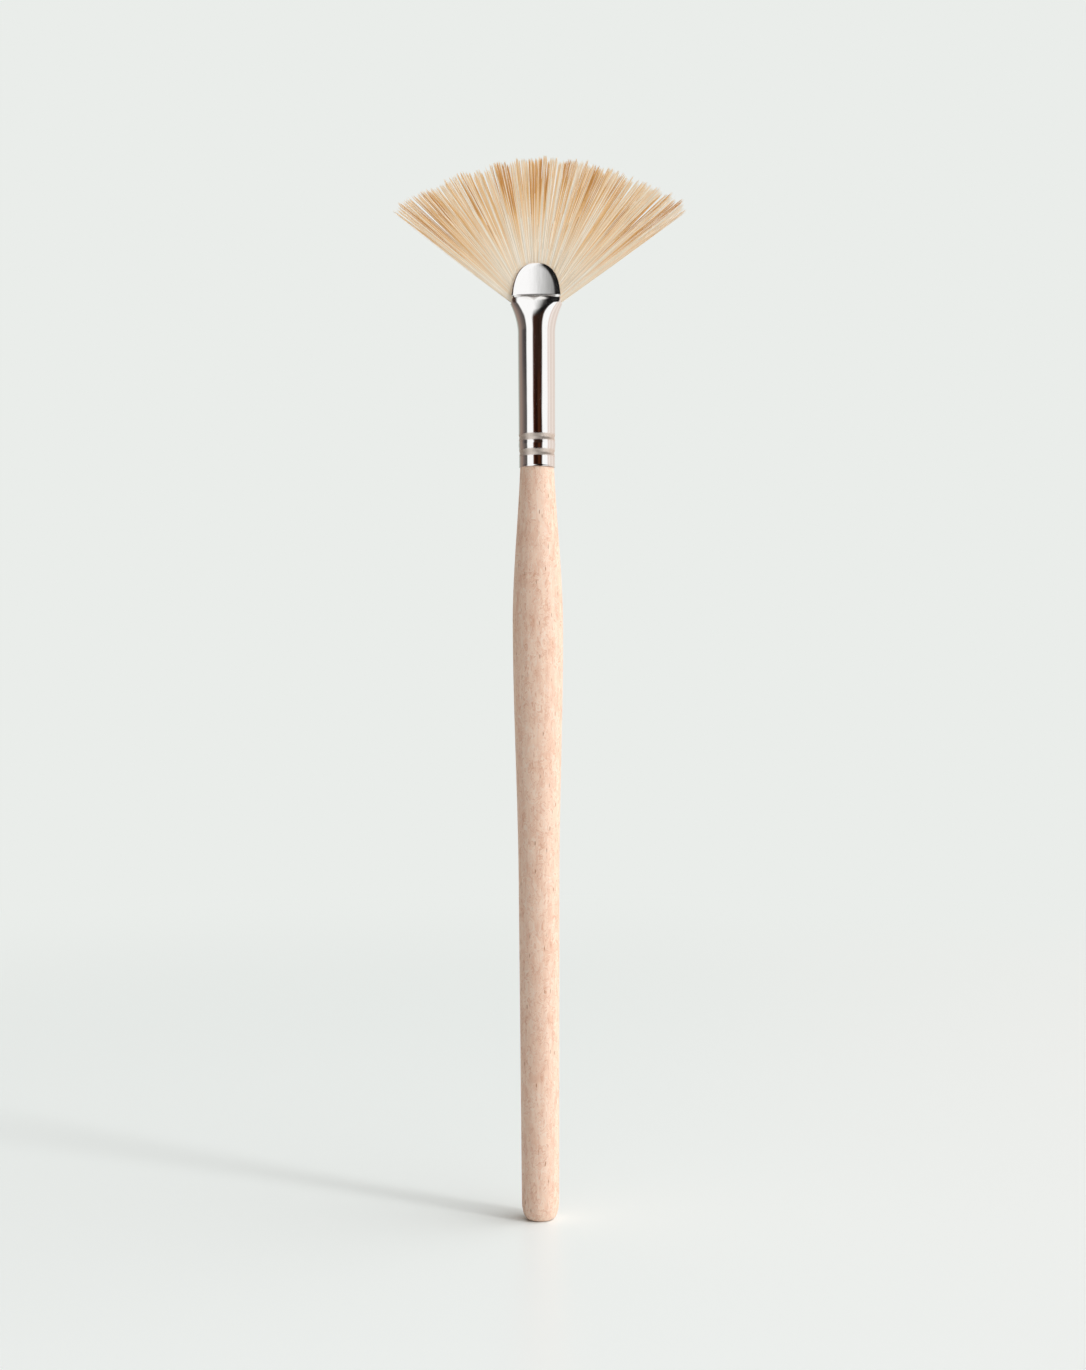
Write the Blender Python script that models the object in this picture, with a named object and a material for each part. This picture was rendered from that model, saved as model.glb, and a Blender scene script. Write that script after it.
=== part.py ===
"""A fan-shaped facial mask brush, standing on the butt of its handle.

The origin is the centre of the butt. +Z runs up the handle to the hair, the fan
spreads along X, and its front faces -Y. All lengths are in metres.
"""

import math
import random

import bmesh
import bpy
from mathutils import Vector

# Handle, a turned stick of beech
BUTT_FLAT_RADIUS = 0.0019
BUTT_ROUND_WIDTH = 0.00127
BUTT_ROUND_HEIGHT = 0.0029
WAIST_HEIGHT = 0.055
WAIST_RADIUS = 0.00345
BELLY_HEIGHT = 0.1008
BELLY_RADIUS = 0.00428
SHOULDER_HEIGHT = 0.12775
SHOULDER_STEP = 0.00019
SHOULDER_FLOW = 0.82
TENON_CHAMFER = 0.0004

# Ferrule, a thin tube of polished aluminium with two crimps near its lower end
TUBE_RADIUS = 0.0031
FERRULE_WALL = 0.0003
LIP_STEP = 0.00003
LIP_HEIGHT = 0.0003
BAND_STEP = 0.00006
BAND_HEIGHT = 0.0019
CRIMP_DEPTH = 0.0002
CRIMP_HEIGHT = 0.00105
BEAD_STEP = 0.00005
BEAD_HEIGHT = 0.00155
TUBE_LENGTH = 0.0229

# Mouth of the ferrule, pressed flat and cut to two dome-shaped tongues
FLARE_LENGTH = 0.0061
FLARE_POWER = 1.8
MOUTH_HALF_WIDTH = 0.0044
MOUTH_DROP = 0.0012
CREASE_HALF_THICKNESS = 0.00125
MOUTH_SQUARENESS = 4.0
DOME_HEIGHT = 0.007
DOME_SIDE_STEP = 0.0002
DOME_SQUARENESS = 2.5
DOME_TIP_HALF_THICKNESS = 0.00085

# Hair, a flat fan of locks
LOCKS = 15
LOCK_COLUMNS = 6
LOCK_LAYERS = 4
LOCK_GATHER = 0.84
LOCK_GAP = 0.00008
FAN_LEFT_ANGLE = math.radians(51.5)
FAN_RIGHT_ANGLE = math.radians(53.5)
FAN_TOP_RADIUS = 0.0418
HAIR_LENGTH = 0.01822
FAN_TOP_OFFSET = 0.00075
STRAND_WIDTH = 0.0003
STRAND_ROOT_GAP = 0.00006
STRAND_STEM_SHARE = 0.62
STEM_DEPTH_SPREAD = 3.2
TIP_DEPTH_SPREAD = 2.8
TIP_UNEVENNESS = 0.03
LOCK_UNEVENNESS = 0.015
MAT_DEPTH = 0.0037
MAT_CLEARANCE = 0.00008
HAIR_SEED = 7

# Inside the ferrule
SEAT_GAP = 0.00005
FIT_CLEARANCE = 0.00003
TENON_END_GAP = 0.0009
PLUG_TIE_REST = 0.0018
THREAD_DIAMETER = 0.00034
THREAD_TURNS = 4
THREAD_PITCH = 0.0008
ADHESIVE_END_MARGIN = 0.0006

# How finely the round pieces are divided
ROUND_STEPS = 32
DOME_STEPS = 26

# Places that follow from the sizes
FERRULE_FOOT = SHOULDER_HEIGHT + SEAT_GAP
LOWER_CRIMP = FERRULE_FOOT + BAND_HEIGHT + CRIMP_HEIGHT / 2
UPPER_CRIMP = LOWER_CRIMP + CRIMP_HEIGHT + BEAD_HEIGHT
TUBE_TOP = FERRULE_FOOT + TUBE_LENGTH
CREASE_HEIGHT = TUBE_TOP + FLARE_LENGTH
DOME_BASE = CREASE_HEIGHT - MOUTH_DROP
DOME_TIP = DOME_BASE + DOME_HEIGHT
DOME_HALF_WIDTH = MOUTH_HALF_WIDTH - DOME_SIDE_STEP
FAN_CENTRE_HEIGHT = DOME_TIP + HAIR_LENGTH - FAN_TOP_RADIUS
SLOT_HALF_GAP = DOME_TIP_HALF_THICKNESS - FERRULE_WALL
MAT_HALF_THICKNESS = SLOT_HALF_GAP - MAT_CLEARANCE
MAT_INSET = FERRULE_WALL + MAT_CLEARANCE
MAT_FOOT = CREASE_HEIGHT - MAT_DEPTH
BORE_RADIUS = TUBE_RADIUS - FERRULE_WALL
BAND_RADIUS = TUBE_RADIUS - BAND_STEP
BEAD_RADIUS = TUBE_RADIUS - BEAD_STEP
CRIMP_RADIUS = TUBE_RADIUS - CRIMP_DEPTH
LIP_RADIUS = TUBE_RADIUS - LIP_STEP
NECK_RADIUS = LIP_RADIUS - SHOULDER_STEP
TENON_RADIUS = BAND_RADIUS - FERRULE_WALL - FIT_CLEARANCE
THREAD_HOLLOW = (THREAD_TURNS * THREAD_PITCH) + THREAD_DIAMETER + 2 * SEAT_GAP
PLUG_RADIUS = BORE_RADIUS - SEAT_GAP
PLUG_TOP = MAT_FOOT - SEAT_GAP
PLUG_STRAIGHT_TOP = min(TUBE_TOP, PLUG_TOP) - SEAT_GAP
PLUG_HOLLOW_TOP = PLUG_STRAIGHT_TOP - PLUG_TIE_REST
PLUG_HOLLOW_FOOT = PLUG_HOLLOW_TOP - THREAD_HOLLOW
PLUG_FOOT = PLUG_HOLLOW_FOOT - PLUG_TIE_REST
TENON_TOP = PLUG_FOOT - TENON_END_GAP


def clear_scene():
    for obj in list(bpy.data.objects):
        bpy.data.objects.remove(obj)


def material(name, colour, roughness, metallic=0.0):
    made = bpy.data.materials.new(name)
    made.use_nodes = True
    shader = made.node_tree.nodes["Principled BSDF"]
    shader.inputs["Base Color"].default_value = (*colour, 1.0)
    shader.inputs["Roughness"].default_value = roughness
    shader.inputs["Metallic"].default_value = metallic
    return made


def add_object(name, bm, surface, smooth=True):
    """Makes an object from a bmesh, with its faces turned outwards first."""
    bmesh.ops.recalc_face_normals(bm, faces=bm.faces)
    mesh = bpy.data.meshes.new(name)
    bm.to_mesh(mesh)
    bm.free()
    mesh.materials.append(surface)
    if smooth:
        mesh.shade_smooth()
        mesh.set_sharp_from_angle(angle=math.radians(40))
    obj = bpy.data.objects.new(name, mesh)
    bpy.context.scene.collection.objects.link(obj)
    return obj


def ease(share):
    """Rises from 0 to 1, level at both ends."""
    share = min(max(share, 0.0), 1.0)
    return share * share * (3 - 2 * share)


def turned(outline):
    """A bmesh turned about Z from (radius, height) points.

    An outline that starts on the axis also ends there; any other is a closed ring.
    """
    bm = bmesh.new()
    verts = [bm.verts.new((radius, 0, height)) for radius, height in outline]
    edges = [bm.edges.new(pair) for pair in zip(verts, verts[1:])]
    if outline[0][0] > 0:
        edges.append(bm.edges.new((verts[-1], verts[0])))
    bmesh.ops.spin(
        bm,
        geom=verts + edges,
        cent=(0, 0, 0),
        axis=(0, 0, 1),
        angle=2 * math.pi,
        steps=ROUND_STEPS,
        use_merge=True,
    )
    bmesh.ops.remove_doubles(bm, verts=bm.verts, dist=1e-6)
    return bm


def crimp_outline(centre, crimp_radius, radius_below, radius_above):
    """(radius, height) points up one crimp, a soft hollow between two plain stretches."""
    steps = 4
    points = []
    for step in range(steps + 1):
        share = step / steps
        plain = radius_below if share < 0.5 else radius_above
        radius = plain - (plain - crimp_radius) * math.sin(math.pi * share)
        points.append((radius, centre + (share - 0.5) * CRIMP_HEIGHT))
    return points


def handle_radius(height):
    """The stick's radius: nearly straight to the waist, swelling, then tapering in."""
    foot_radius = BUTT_FLAT_RADIUS + BUTT_ROUND_WIDTH
    if height < BUTT_ROUND_HEIGHT:
        drop = 1 - height / BUTT_ROUND_HEIGHT
        return BUTT_FLAT_RADIUS + BUTT_ROUND_WIDTH * math.sqrt(1 - drop * drop)
    if height < WAIST_HEIGHT:
        share = (height - BUTT_ROUND_HEIGHT) / (WAIST_HEIGHT - BUTT_ROUND_HEIGHT)
        return foot_radius + (WAIST_RADIUS - foot_radius) * share
    if height < BELLY_HEIGHT:
        share = (height - WAIST_HEIGHT) / (BELLY_HEIGHT - WAIST_HEIGHT)
        return WAIST_RADIUS + (BELLY_RADIUS - WAIST_RADIUS) * ease(share)
    share = (height - BELLY_HEIGHT) / (SHOULDER_HEIGHT - BELLY_HEIGHT)
    flow = ease(share * SHOULDER_FLOW) / ease(SHOULDER_FLOW)
    return BELLY_RADIUS + (NECK_RADIUS - BELLY_RADIUS) * flow


def handle_heights():
    """Heights up the stick's outline, closer together where it bends."""
    round_steps = 6
    turns = [math.pi / 2 * step / round_steps for step in range(round_steps)]
    heights = [BUTT_ROUND_HEIGHT * (1 - math.cos(turn)) for turn in turns]
    for low, high, steps in (
        (BUTT_ROUND_HEIGHT, WAIST_HEIGHT, 2),
        (WAIST_HEIGHT, BELLY_HEIGHT, 7),
        (BELLY_HEIGHT, SHOULDER_HEIGHT, 7),
    ):
        heights += [low + (high - low) * step / steps for step in range(steps)]
    return heights + [SHOULDER_HEIGHT]


def make_handle(surface):
    """One turned piece: butt, body, shoulder, and a tenon bitten by the two crimps."""
    outline = [(0.0, 0.0)]
    outline += [(handle_radius(height), height) for height in handle_heights()]
    outline.append((TENON_RADIUS, SHOULDER_HEIGHT))
    bite = CRIMP_RADIUS - FERRULE_WALL - FIT_CLEARANCE
    for centre in (LOWER_CRIMP, UPPER_CRIMP):
        outline += crimp_outline(centre, bite, TENON_RADIUS, TENON_RADIUS)
    outline.append((TENON_RADIUS, TENON_TOP - TENON_CHAMFER))
    outline.append((TENON_RADIUS - TENON_CHAMFER, TENON_TOP))
    outline.append((0.0, TENON_TOP))
    return add_object("handle", turned(outline), surface)


def mouth_section(height):
    """(height, half width, half thickness, squareness) of the skin above the tube."""
    widening = (height - TUBE_TOP) / (DOME_BASE - TUBE_TOP)
    widening = min(max(widening, 0.0), 1.0) ** FLARE_POWER
    half_width = TUBE_RADIUS + (MOUTH_HALF_WIDTH - TUBE_RADIUS) * widening
    flattening = min(max((height - TUBE_TOP) / FLARE_LENGTH, 0.0), 1.0)
    squareness = 2.0 + (MOUTH_SQUARENESS - 2.0) * ease(flattening)
    half_thickness = TUBE_RADIUS - (TUBE_RADIUS - CREASE_HALF_THICKNESS) * flattening**2
    if height > CREASE_HEIGHT:
        thinning = (height - CREASE_HEIGHT) / (DOME_TIP - CREASE_HEIGHT)
        half_thickness -= (CREASE_HALF_THICKNESS - DOME_TIP_HALF_THICKNESS) * thinning
    return height, half_width, half_thickness, squareness


def ferrule_sections():
    """Every section of the outer skin, from the foot to just above the dome's tip."""
    rounds = [(LIP_RADIUS, FERRULE_FOOT), (BAND_RADIUS, FERRULE_FOOT + LIP_HEIGHT)]
    rounds += crimp_outline(LOWER_CRIMP, CRIMP_RADIUS, BAND_RADIUS, BEAD_RADIUS)
    rounds += crimp_outline(UPPER_CRIMP, CRIMP_RADIUS, BEAD_RADIUS, TUBE_RADIUS)
    sections = [(height, radius, radius, 2.0) for radius, height in rounds]
    steps = 5
    heights = [TUBE_TOP + (DOME_BASE - TUBE_TOP) * step / steps for step in range(steps + 1)]
    heights += [CREASE_HEIGHT, DOME_TIP + FERRULE_WALL]
    return sections + [mouth_section(height) for height in heights]


def section_ring(bm, height, half_width, half_thickness, squareness):
    """One ring of vertices on a superellipse, which is round at squareness 2."""
    ring = []
    for step in range(ROUND_STEPS):
        turn = 2 * math.pi * step / ROUND_STEPS
        c, s = math.cos(turn), math.sin(turn)
        x = half_width * math.copysign(abs(c) ** (2 / squareness), c)
        y = half_thickness * math.copysign(abs(s) ** (2 / squareness), s)
        ring.append(bm.verts.new((x, y, height)))
    return ring


def dome_point(turn, inset=0.0):
    """(x, z) on the dome's edge, where turn runs from -90 degrees at one side to +90."""
    c, s = max(math.cos(turn), 0.0), math.sin(turn)
    x = (DOME_HALF_WIDTH - inset) * math.copysign(abs(s) ** (2 / DOME_SQUARENESS), s)
    z = DOME_BASE + (DOME_HEIGHT - inset) * c ** (2 / DOME_SQUARENESS)
    return x, z


def prism_cutter(name, outline, half_depth, surface):
    """A hidden cutter that carries an outline of (x, z) points from front to back."""
    bm = bmesh.new()
    face = bm.faces.new([bm.verts.new((x, -half_depth, z)) for x, z in outline])
    grown = bmesh.ops.extrude_face_region(bm, geom=[face])["geom"]
    moved = [item for item in grown if isinstance(item, bmesh.types.BMVert)]
    bmesh.ops.translate(bm, verts=moved, vec=(0, 2 * half_depth, 0))
    cutter = add_object(name, bm, surface, smooth=False)
    cutter.hide_render = True
    cutter.display_type = "WIRE"
    return cutter


def mouth_cutters(surface):
    """What is cut off round the dome, and the slot between the two tongues."""
    reach = 2 * MOUTH_HALF_WIDTH
    top = DOME_BASE + 2 * DOME_HEIGHT
    dome = [dome_point(math.pi * (step / DOME_STEPS - 0.5)) for step in range(DOME_STEPS + 1)]
    outside = [(-reach, DOME_BASE)] + dome + [(reach, DOME_BASE), (reach, top), (-reach, top)]
    slot = [(-reach, DOME_BASE), (reach, DOME_BASE), (reach, top), (-reach, top)]
    yield prism_cutter("dome_cutter", outside, reach, surface)
    yield prism_cutter("slot_cutter", slot, SLOT_HALF_GAP, surface)


def make_ferrule(surface):
    """A tube of even wall, round at the crimps and pressed flat at its mouth."""
    bm = bmesh.new()
    sections = ferrule_sections()
    rings = [section_ring(bm, *section) for section in sections]
    for height, half_width, half_thickness, squareness in reversed(sections):
        inner = (half_width - FERRULE_WALL, half_thickness - FERRULE_WALL)
        rings.append(section_ring(bm, height, *inner, squareness))
    for ring, following in zip(rings, rings[1:] + rings[:1]):
        for step in range(ROUND_STEPS):
            after = (step + 1) % ROUND_STEPS
            bm.faces.new((ring[step], ring[after], following[after], following[step]))
    ferrule = add_object("ferrule", bm, surface)
    for cutter in mouth_cutters(surface):
        cut = ferrule.modifiers.new(cutter.name, "BOOLEAN")
        cut.object = cutter
        cut.operation = "DIFFERENCE"
        cut.solver = "EXACT"
    return ferrule


def make_tenon_adhesive(surface):
    """The cured film of glue between the tenon and the bore, above the crimps."""
    inner = TENON_RADIUS + FIT_CLEARANCE
    outer = BORE_RADIUS - FIT_CLEARANCE
    low = UPPER_CRIMP + CRIMP_HEIGHT / 2 + ADHESIVE_END_MARGIN
    high = TENON_TOP - ADHESIVE_END_MARGIN
    outline = [(outer, high), (outer, low), (inner, low), (inner, high)]
    return add_object("tenon_adhesive", turned(outline), surface)


def plug_top_radius():
    """The widest that fits between the flattening walls at the plug's top."""
    half_thickness = mouth_section(PLUG_TOP)[2]
    return half_thickness - FERRULE_WALL - 2 * SEAT_GAP


def make_root_plug(surface):
    """The hair roots set in resin: it fills the bore, with a hollow for the thread."""
    waist = PLUG_RADIUS - THREAD_DIAMETER - SEAT_GAP
    outline = [
        (0.0, PLUG_FOOT),
        (PLUG_RADIUS, PLUG_FOOT),
        (PLUG_RADIUS, PLUG_HOLLOW_FOOT),
        (waist, PLUG_HOLLOW_FOOT),
        (waist, PLUG_HOLLOW_TOP),
        (PLUG_RADIUS, PLUG_HOLLOW_TOP),
        (PLUG_RADIUS, PLUG_STRAIGHT_TOP),
        (plug_top_radius(), PLUG_TOP),
        (0.0, PLUG_TOP),
    ]
    return add_object("root_plug", turned(outline), surface)


def make_binding_thread(surface):
    """The thread that ties the roots together: one coil of a few open turns."""
    radius = PLUG_RADIUS - THREAD_DIAMETER / 2
    first = PLUG_HOLLOW_FOOT + SEAT_GAP + THREAD_DIAMETER / 2
    steps_a_turn = 14
    steps = THREAD_TURNS * steps_a_turn
    curve = bpy.data.curves.new("binding_thread", "CURVE")
    curve.dimensions = "3D"
    curve.bevel_depth = THREAD_DIAMETER / 2
    curve.bevel_resolution = 1
    curve.use_fill_caps = True
    curve.materials.append(surface)
    spline = curve.splines.new("POLY")
    spline.points.add(steps)
    for step, point in enumerate(spline.points):
        turn = 2 * math.pi * step / steps_a_turn
        height = first + THREAD_PITCH * step / steps_a_turn
        point.co = (radius * math.cos(turn), radius * math.sin(turn), height, 1)
    thread = bpy.data.objects.new("binding_thread", curve)
    bpy.context.scene.collection.objects.link(thread)
    return thread


def mouth_table():
    """The hair mat's edge as (length along it, x, z), from one side to the other."""
    steps = 240
    table = []
    length = 0.0
    for step in range(steps + 1):
        x, z = dome_point(math.pi * (step / steps - 0.5), MAT_INSET)
        if table:
            length += math.hypot(x - table[-1][1], z - table[-1][2])
        table.append((length, x, z))
    return table


MOUTH = mouth_table()
MOUTH_LENGTH = MOUTH[-1][0]


def mouth_point(share):
    """(x, z) where hair leaves the mouth, with share running evenly from -1 to 1."""
    wanted = (share + 1) / 2 * MOUTH_LENGTH
    for before, after in zip(MOUTH, MOUTH[1:]):
        if wanted <= after[0]:
            part = (wanted - before[0]) / (after[0] - before[0])
            x = before[1] + (after[1] - before[1]) * part
            return x, before[2] + (after[2] - before[2]) * part
    return MOUTH[-1][1:]


def lock_mat(bm, shares):
    """A lock's slice of the glued hair mat. Returns the cells that strands grow from."""
    foot_half_width = plug_top_radius() * math.cos(math.radians(30))
    foot_half_thickness = plug_top_radius() * math.sin(math.radians(30))
    depths = [2 * layer / LOCK_LAYERS - 1 for layer in range(LOCK_LAYERS + 1)]
    mouth = {}
    for column, share in enumerate(shares):
        x, z = mouth_point(share)
        for layer, depth in enumerate(depths):
            mouth[column, layer] = bm.verts.new((x, depth * MAT_HALF_THICKNESS, z))
    last, top = LOCK_COLUMNS, LOCK_LAYERS
    rim = [(column, 0) for column in range(last)] + [(last, layer) for layer in range(top)]
    rim += [(column, top) for column in range(last, 0, -1)]
    rim += [(0, layer) for layer in range(top, 0, -1)]
    foot = {}
    for column, layer in rim:
        x = shares[column] * foot_half_width
        foot[column, layer] = bm.verts.new((x, depths[layer] * foot_half_thickness, MAT_FOOT))
    for corner, after in zip(rim, rim[1:] + rim[:1]):
        bm.faces.new((mouth[corner], mouth[after], foot[after], foot[corner]))
    bm.faces.new([foot[corner] for corner in rim])
    cells = {}
    for column in range(last):
        for layer in range(top):
            corners = [(column, layer), (column + 1, layer)]
            corners += [(column + 1, layer + 1), (column, layer + 1)]
            cells[column, layer] = bm.faces.new([mouth[corner] for corner in corners])
    return cells


def fan_angle(share):
    """The lean of a strand from straight up, where share runs from -1 to 1."""
    return ((1 + share) * FAN_RIGHT_ANGLE - (1 - share) * FAN_LEFT_ANGLE) / 2


def strand_length(root, way):
    """How far a strand runs from its root to the circle that the fan's top follows."""
    centre = Vector((FAN_TOP_OFFSET, root.y, FAN_CENTRE_HEIGHT))
    along = (root - centre).dot(way)
    outside = (root - centre).length_squared - FAN_TOP_RADIUS**2
    return math.sqrt(along * along - outside) - along


def grow_strand(bm, cell, share, shortening):
    """Draws one strand out of its cell: a square stem, then a long point."""
    root = cell.calc_center_median()
    bmesh.ops.inset_individual(bm, faces=[cell], thickness=STRAND_ROOT_GAP / 2)
    angle = fan_angle(share)
    way = Vector((math.sin(angle), 0, math.cos(angle)))
    side = Vector((math.cos(angle), 0, -math.sin(angle)))
    length = strand_length(root, way) * (1 - shortening)
    middle = root + way * length * STRAND_STEM_SHARE
    middle.y = root.y * STEM_DEPTH_SPREAD
    tip = root + way * length
    tip.y = root.y * TIP_DEPTH_SPREAD
    stem = bmesh.ops.extrude_discrete_faces(bm, faces=[cell])["faces"][0]
    for vert in stem.verts:
        across = math.copysign(STRAND_WIDTH / 2, (vert.co - root).dot(side))
        thick = math.copysign(STRAND_WIDTH / 2, vert.co.y - root.y)
        vert.co = middle + side * across + Vector((0, thick, 0))
    point = bmesh.ops.extrude_discrete_faces(bm, faces=[stem])["faces"][0]
    bmesh.ops.pointmerge(bm, verts=point.verts, merge_co=tip)


def make_lock(number, surface):
    """One lock of the fan: strands fused to the slice of hair mat that they grow from."""
    dice = random.Random(HAIR_SEED * LOCKS + number)
    margin = LOCK_GAP / MOUTH_LENGTH
    first = 2 * number / LOCKS - 1 + margin
    last = 2 * (number + 1) / LOCKS - 1 - margin
    centre = (first + last) / 2
    pitch = (last - first) / LOCK_COLUMNS
    bm = bmesh.new()
    cells = lock_mat(bm, [first + pitch * column for column in range(LOCK_COLUMNS + 1)])
    lock_shortening = dice.uniform(0, LOCK_UNEVENNESS)
    for (column, layer), cell in cells.items():
        stagger = 0.25 if layer % 2 else -0.25
        share = first + pitch * (column + 0.5 + stagger)
        gathered = centre + (share - centre) * LOCK_GATHER
        shortening = lock_shortening + dice.uniform(0, TIP_UNEVENNESS)
        grow_strand(bm, cell, gathered, shortening)
    return add_object(f"hair_lock_{number + 1:02d}", bm, surface, smooth=False)


def main():
    clear_scene()
    beech = material("beech", (0.76, 0.55, 0.40), 0.45)
    aluminium = material("polished_aluminium", (0.91, 0.91, 0.90), 0.08, metallic=1.0)
    glue = material("cured_glue", (0.72, 0.62, 0.40), 0.35)
    resin = material("root_resin", (0.45, 0.28, 0.12), 0.30)
    cotton = material("cotton_thread", (0.80, 0.76, 0.68), 0.90)
    hair = material("natural_hair", (0.78, 0.58, 0.36), 0.55)
    make_handle(beech)
    make_ferrule(aluminium)
    make_tenon_adhesive(glue)
    make_root_plug(resin)
    make_binding_thread(cotton)
    for number in range(LOCKS):
        make_lock(number, hair)


main()
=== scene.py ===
# %% [markdown]
# # A fan-shaped mask brush
# The brush has three visible pieces. A turned stick of beech is the handle. A thin aluminium tube,
# the ferrule, is crimped onto it and pressed flat at its mouth. A flat fan of natural hair leaves
# the mouth. The measured model of these pieces is loaded first and never moved, because every
# surface made here has to fit it.

# %% Load the measured model
import math
import random

import bpy
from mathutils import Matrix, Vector


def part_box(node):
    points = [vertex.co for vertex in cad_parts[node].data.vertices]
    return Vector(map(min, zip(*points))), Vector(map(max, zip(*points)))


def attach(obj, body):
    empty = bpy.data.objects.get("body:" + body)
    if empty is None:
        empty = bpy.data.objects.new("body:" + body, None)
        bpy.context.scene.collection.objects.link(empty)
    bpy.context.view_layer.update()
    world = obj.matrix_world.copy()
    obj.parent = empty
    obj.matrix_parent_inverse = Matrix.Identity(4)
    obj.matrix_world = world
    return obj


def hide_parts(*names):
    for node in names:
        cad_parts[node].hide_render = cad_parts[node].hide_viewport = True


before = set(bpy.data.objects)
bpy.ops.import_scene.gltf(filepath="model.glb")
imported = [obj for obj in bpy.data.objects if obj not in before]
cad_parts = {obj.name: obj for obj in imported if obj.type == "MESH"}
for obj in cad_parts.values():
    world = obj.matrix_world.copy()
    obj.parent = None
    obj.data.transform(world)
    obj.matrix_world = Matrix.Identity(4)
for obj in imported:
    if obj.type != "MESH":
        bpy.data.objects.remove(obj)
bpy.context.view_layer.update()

# %% [markdown]
# ## Units, colours and nodes
# Blender counts in metres and the brush is drawn in millimetres, so one value turns one into the
# other. A colour is written as an sRGB hex value, as in any paint program, but a shader
# multiplies light, so the value has to be made linear first. Every material is a small network of
# nodes, and one function adds a node with its settings and its links. A node that is given as an
# input stands for its first output, which is nearly always the one that is wanted. That keeps each
# material short enough to read.

# %% Small helpers
MM = 0.001


def colour(hex_value):
    """An sRGB hex value as the linear colour that a shader needs."""
    channels = [int(hex_value[start : start + 2], 16) / 255 for start in (1, 3, 5)]
    linear = [c / 12.92 if c <= 0.04045 else ((c + 0.055) / 1.055) ** 2.4 for c in channels]
    return (*linear, 1.0)


def set_inputs(node, inputs):
    """Gives each input, by name or number, its value: a number, a colour, a socket or a node."""
    for socket, value in inputs.items():
        if isinstance(value, bpy.types.Node):
            value = value.outputs[0]
        if isinstance(value, bpy.types.NodeSocket):
            node.id_data.links.new(value, node.inputs[socket])
        else:
            node.inputs[socket].default_value = value


def add_node(tree, kind, inputs=None, **settings):
    """Adds one node with its settings and its inputs."""
    node = tree.nodes.new("ShaderNode" + kind)
    for name, value in settings.items():
        setattr(node, name, value)
    set_inputs(node, inputs or {})
    return node


def set_ramp(node, *stops):
    """Gives a colour ramp its (place, hex colour) stops, in order."""
    elements = node.color_ramp.elements
    while len(elements) > 1:
        elements.remove(elements[-1])
    elements[0].position = stops[0][0]
    elements[0].color = colour(stops[0][1])
    for place, shade in stops[1:]:
        elements.new(place).color = colour(shade)
    return node


def new_material(name):
    """A material that holds only a Principled shader. Returns it, its tree and the shader."""
    made = bpy.data.materials.new(name)
    made.use_nodes = True
    tree = made.node_tree
    return made, tree, tree.nodes["Principled BSDF"]


print("1 mm is", MM, "and mid grey is", [round(c, 3) for c in colour("#808080")])

# %% [markdown]
# ## The camera
# The photograph is taken with the camera level with the middle of the brush, about a third of a
# metre away, which shows in how much of the floor is seen round its foot. The camera stands a
# little to the right of the brush's front, and the brush leans a quarter of a degree to the left
# in the picture, so the camera is rolled by that much. Colours are shown as they are, without a
# film look, so that they can be compared with the real thing.

# %% The camera
CAMERA_DISTANCE = 323.9 * MM
CAMERA_HEIGHT = 90.8 * MM
CAMERA_TURN = math.radians(2)
CAMERA_ROLL = math.radians(0.27)
CAMERA_ASIDE = 0.83 * MM

camera_data = bpy.data.cameras.new("camera")
camera_data.lens = 50
camera_data.sensor_fit = "VERTICAL"
camera_data.sensor_height = 36
camera_data.clip_start = 10 * MM
camera = bpy.data.objects.new("camera", camera_data)
bpy.context.scene.collection.objects.link(camera)
aside = Vector((math.cos(CAMERA_TURN), math.sin(CAMERA_TURN), 0))
back = Vector((math.sin(CAMERA_TURN), -math.cos(CAMERA_TURN), 0))
camera.location = aside * CAMERA_ASIDE + back * CAMERA_DISTANCE + Vector((0, 0, CAMERA_HEIGHT))
camera.rotation_euler = (math.radians(90), CAMERA_ROLL, CAMERA_TURN)
bpy.context.scene.camera = camera
bpy.context.scene.view_settings.view_transform = "Standard"
print("camera at", [round(value, 4) for value in camera.location])

# %% [markdown]
# ## The studio
# A product photographer stands the brush on a pale sweep of paper under large soft lights. Here the
# sweep is a wide floor, and the background takes the same colour, so no horizon shows. Polished
# metal has no colour of its own and shows the room: its bright and dark stripes are the light
# boxes and the dark cards between them. The room is a sky that answers three kinds of ray. The
# camera sees the plain backdrop, matt surfaces are lit from the right, from above and faintly from
# behind, and glossy surfaces see the boxes and cards.

# %% The sky's directions
BACKDROP = "#EAEDEA"

world = bpy.data.worlds.new("studio")
world.use_nodes = True
bpy.context.scene.world = world
sky = world.node_tree
sky.nodes.clear()
ray = add_node(sky, "TexCoord").outputs["Generated"]
level_ray = add_node(
    sky, "VectorRotate", {"Vector": ray, "Angle": -CAMERA_TURN}, rotation_type="Z_AXIS"
)
ray_parts = add_node(sky, "SeparateXYZ", {0: level_ray})
toward_camera = add_node(sky, "Math", {0: ray_parts.outputs["Y"], 1: -1.0}, operation="MULTIPLY")
azimuth = add_node(sky, "Math", {0: ray_parts.outputs["X"], 1: toward_camera}, operation="ARCTAN2")
elevation = add_node(sky, "Math", {0: ray_parts.outputs["Z"]}, operation="ARCSINE")
print("the sky reads a ray's azimuth and elevation")

# %% What matt surfaces are lit by
# A large soft box stands high on the right, the ceiling glows a little, and so does the wall
# behind on the left, in a warmer tone. Each is (degrees right of the camera, degrees up, how
# narrow its patch of light is, strength, tone).
SOFT_BOXES = (
    (75, 45, 4, 3.05, "#FFFFFF"),
    (0, 90, 4, 0.24, "#F2F8FF"),
    (-150, 20, 3, 0.52, "#FFDAC0"),
)
ROOM_FILL = 0.01


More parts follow.
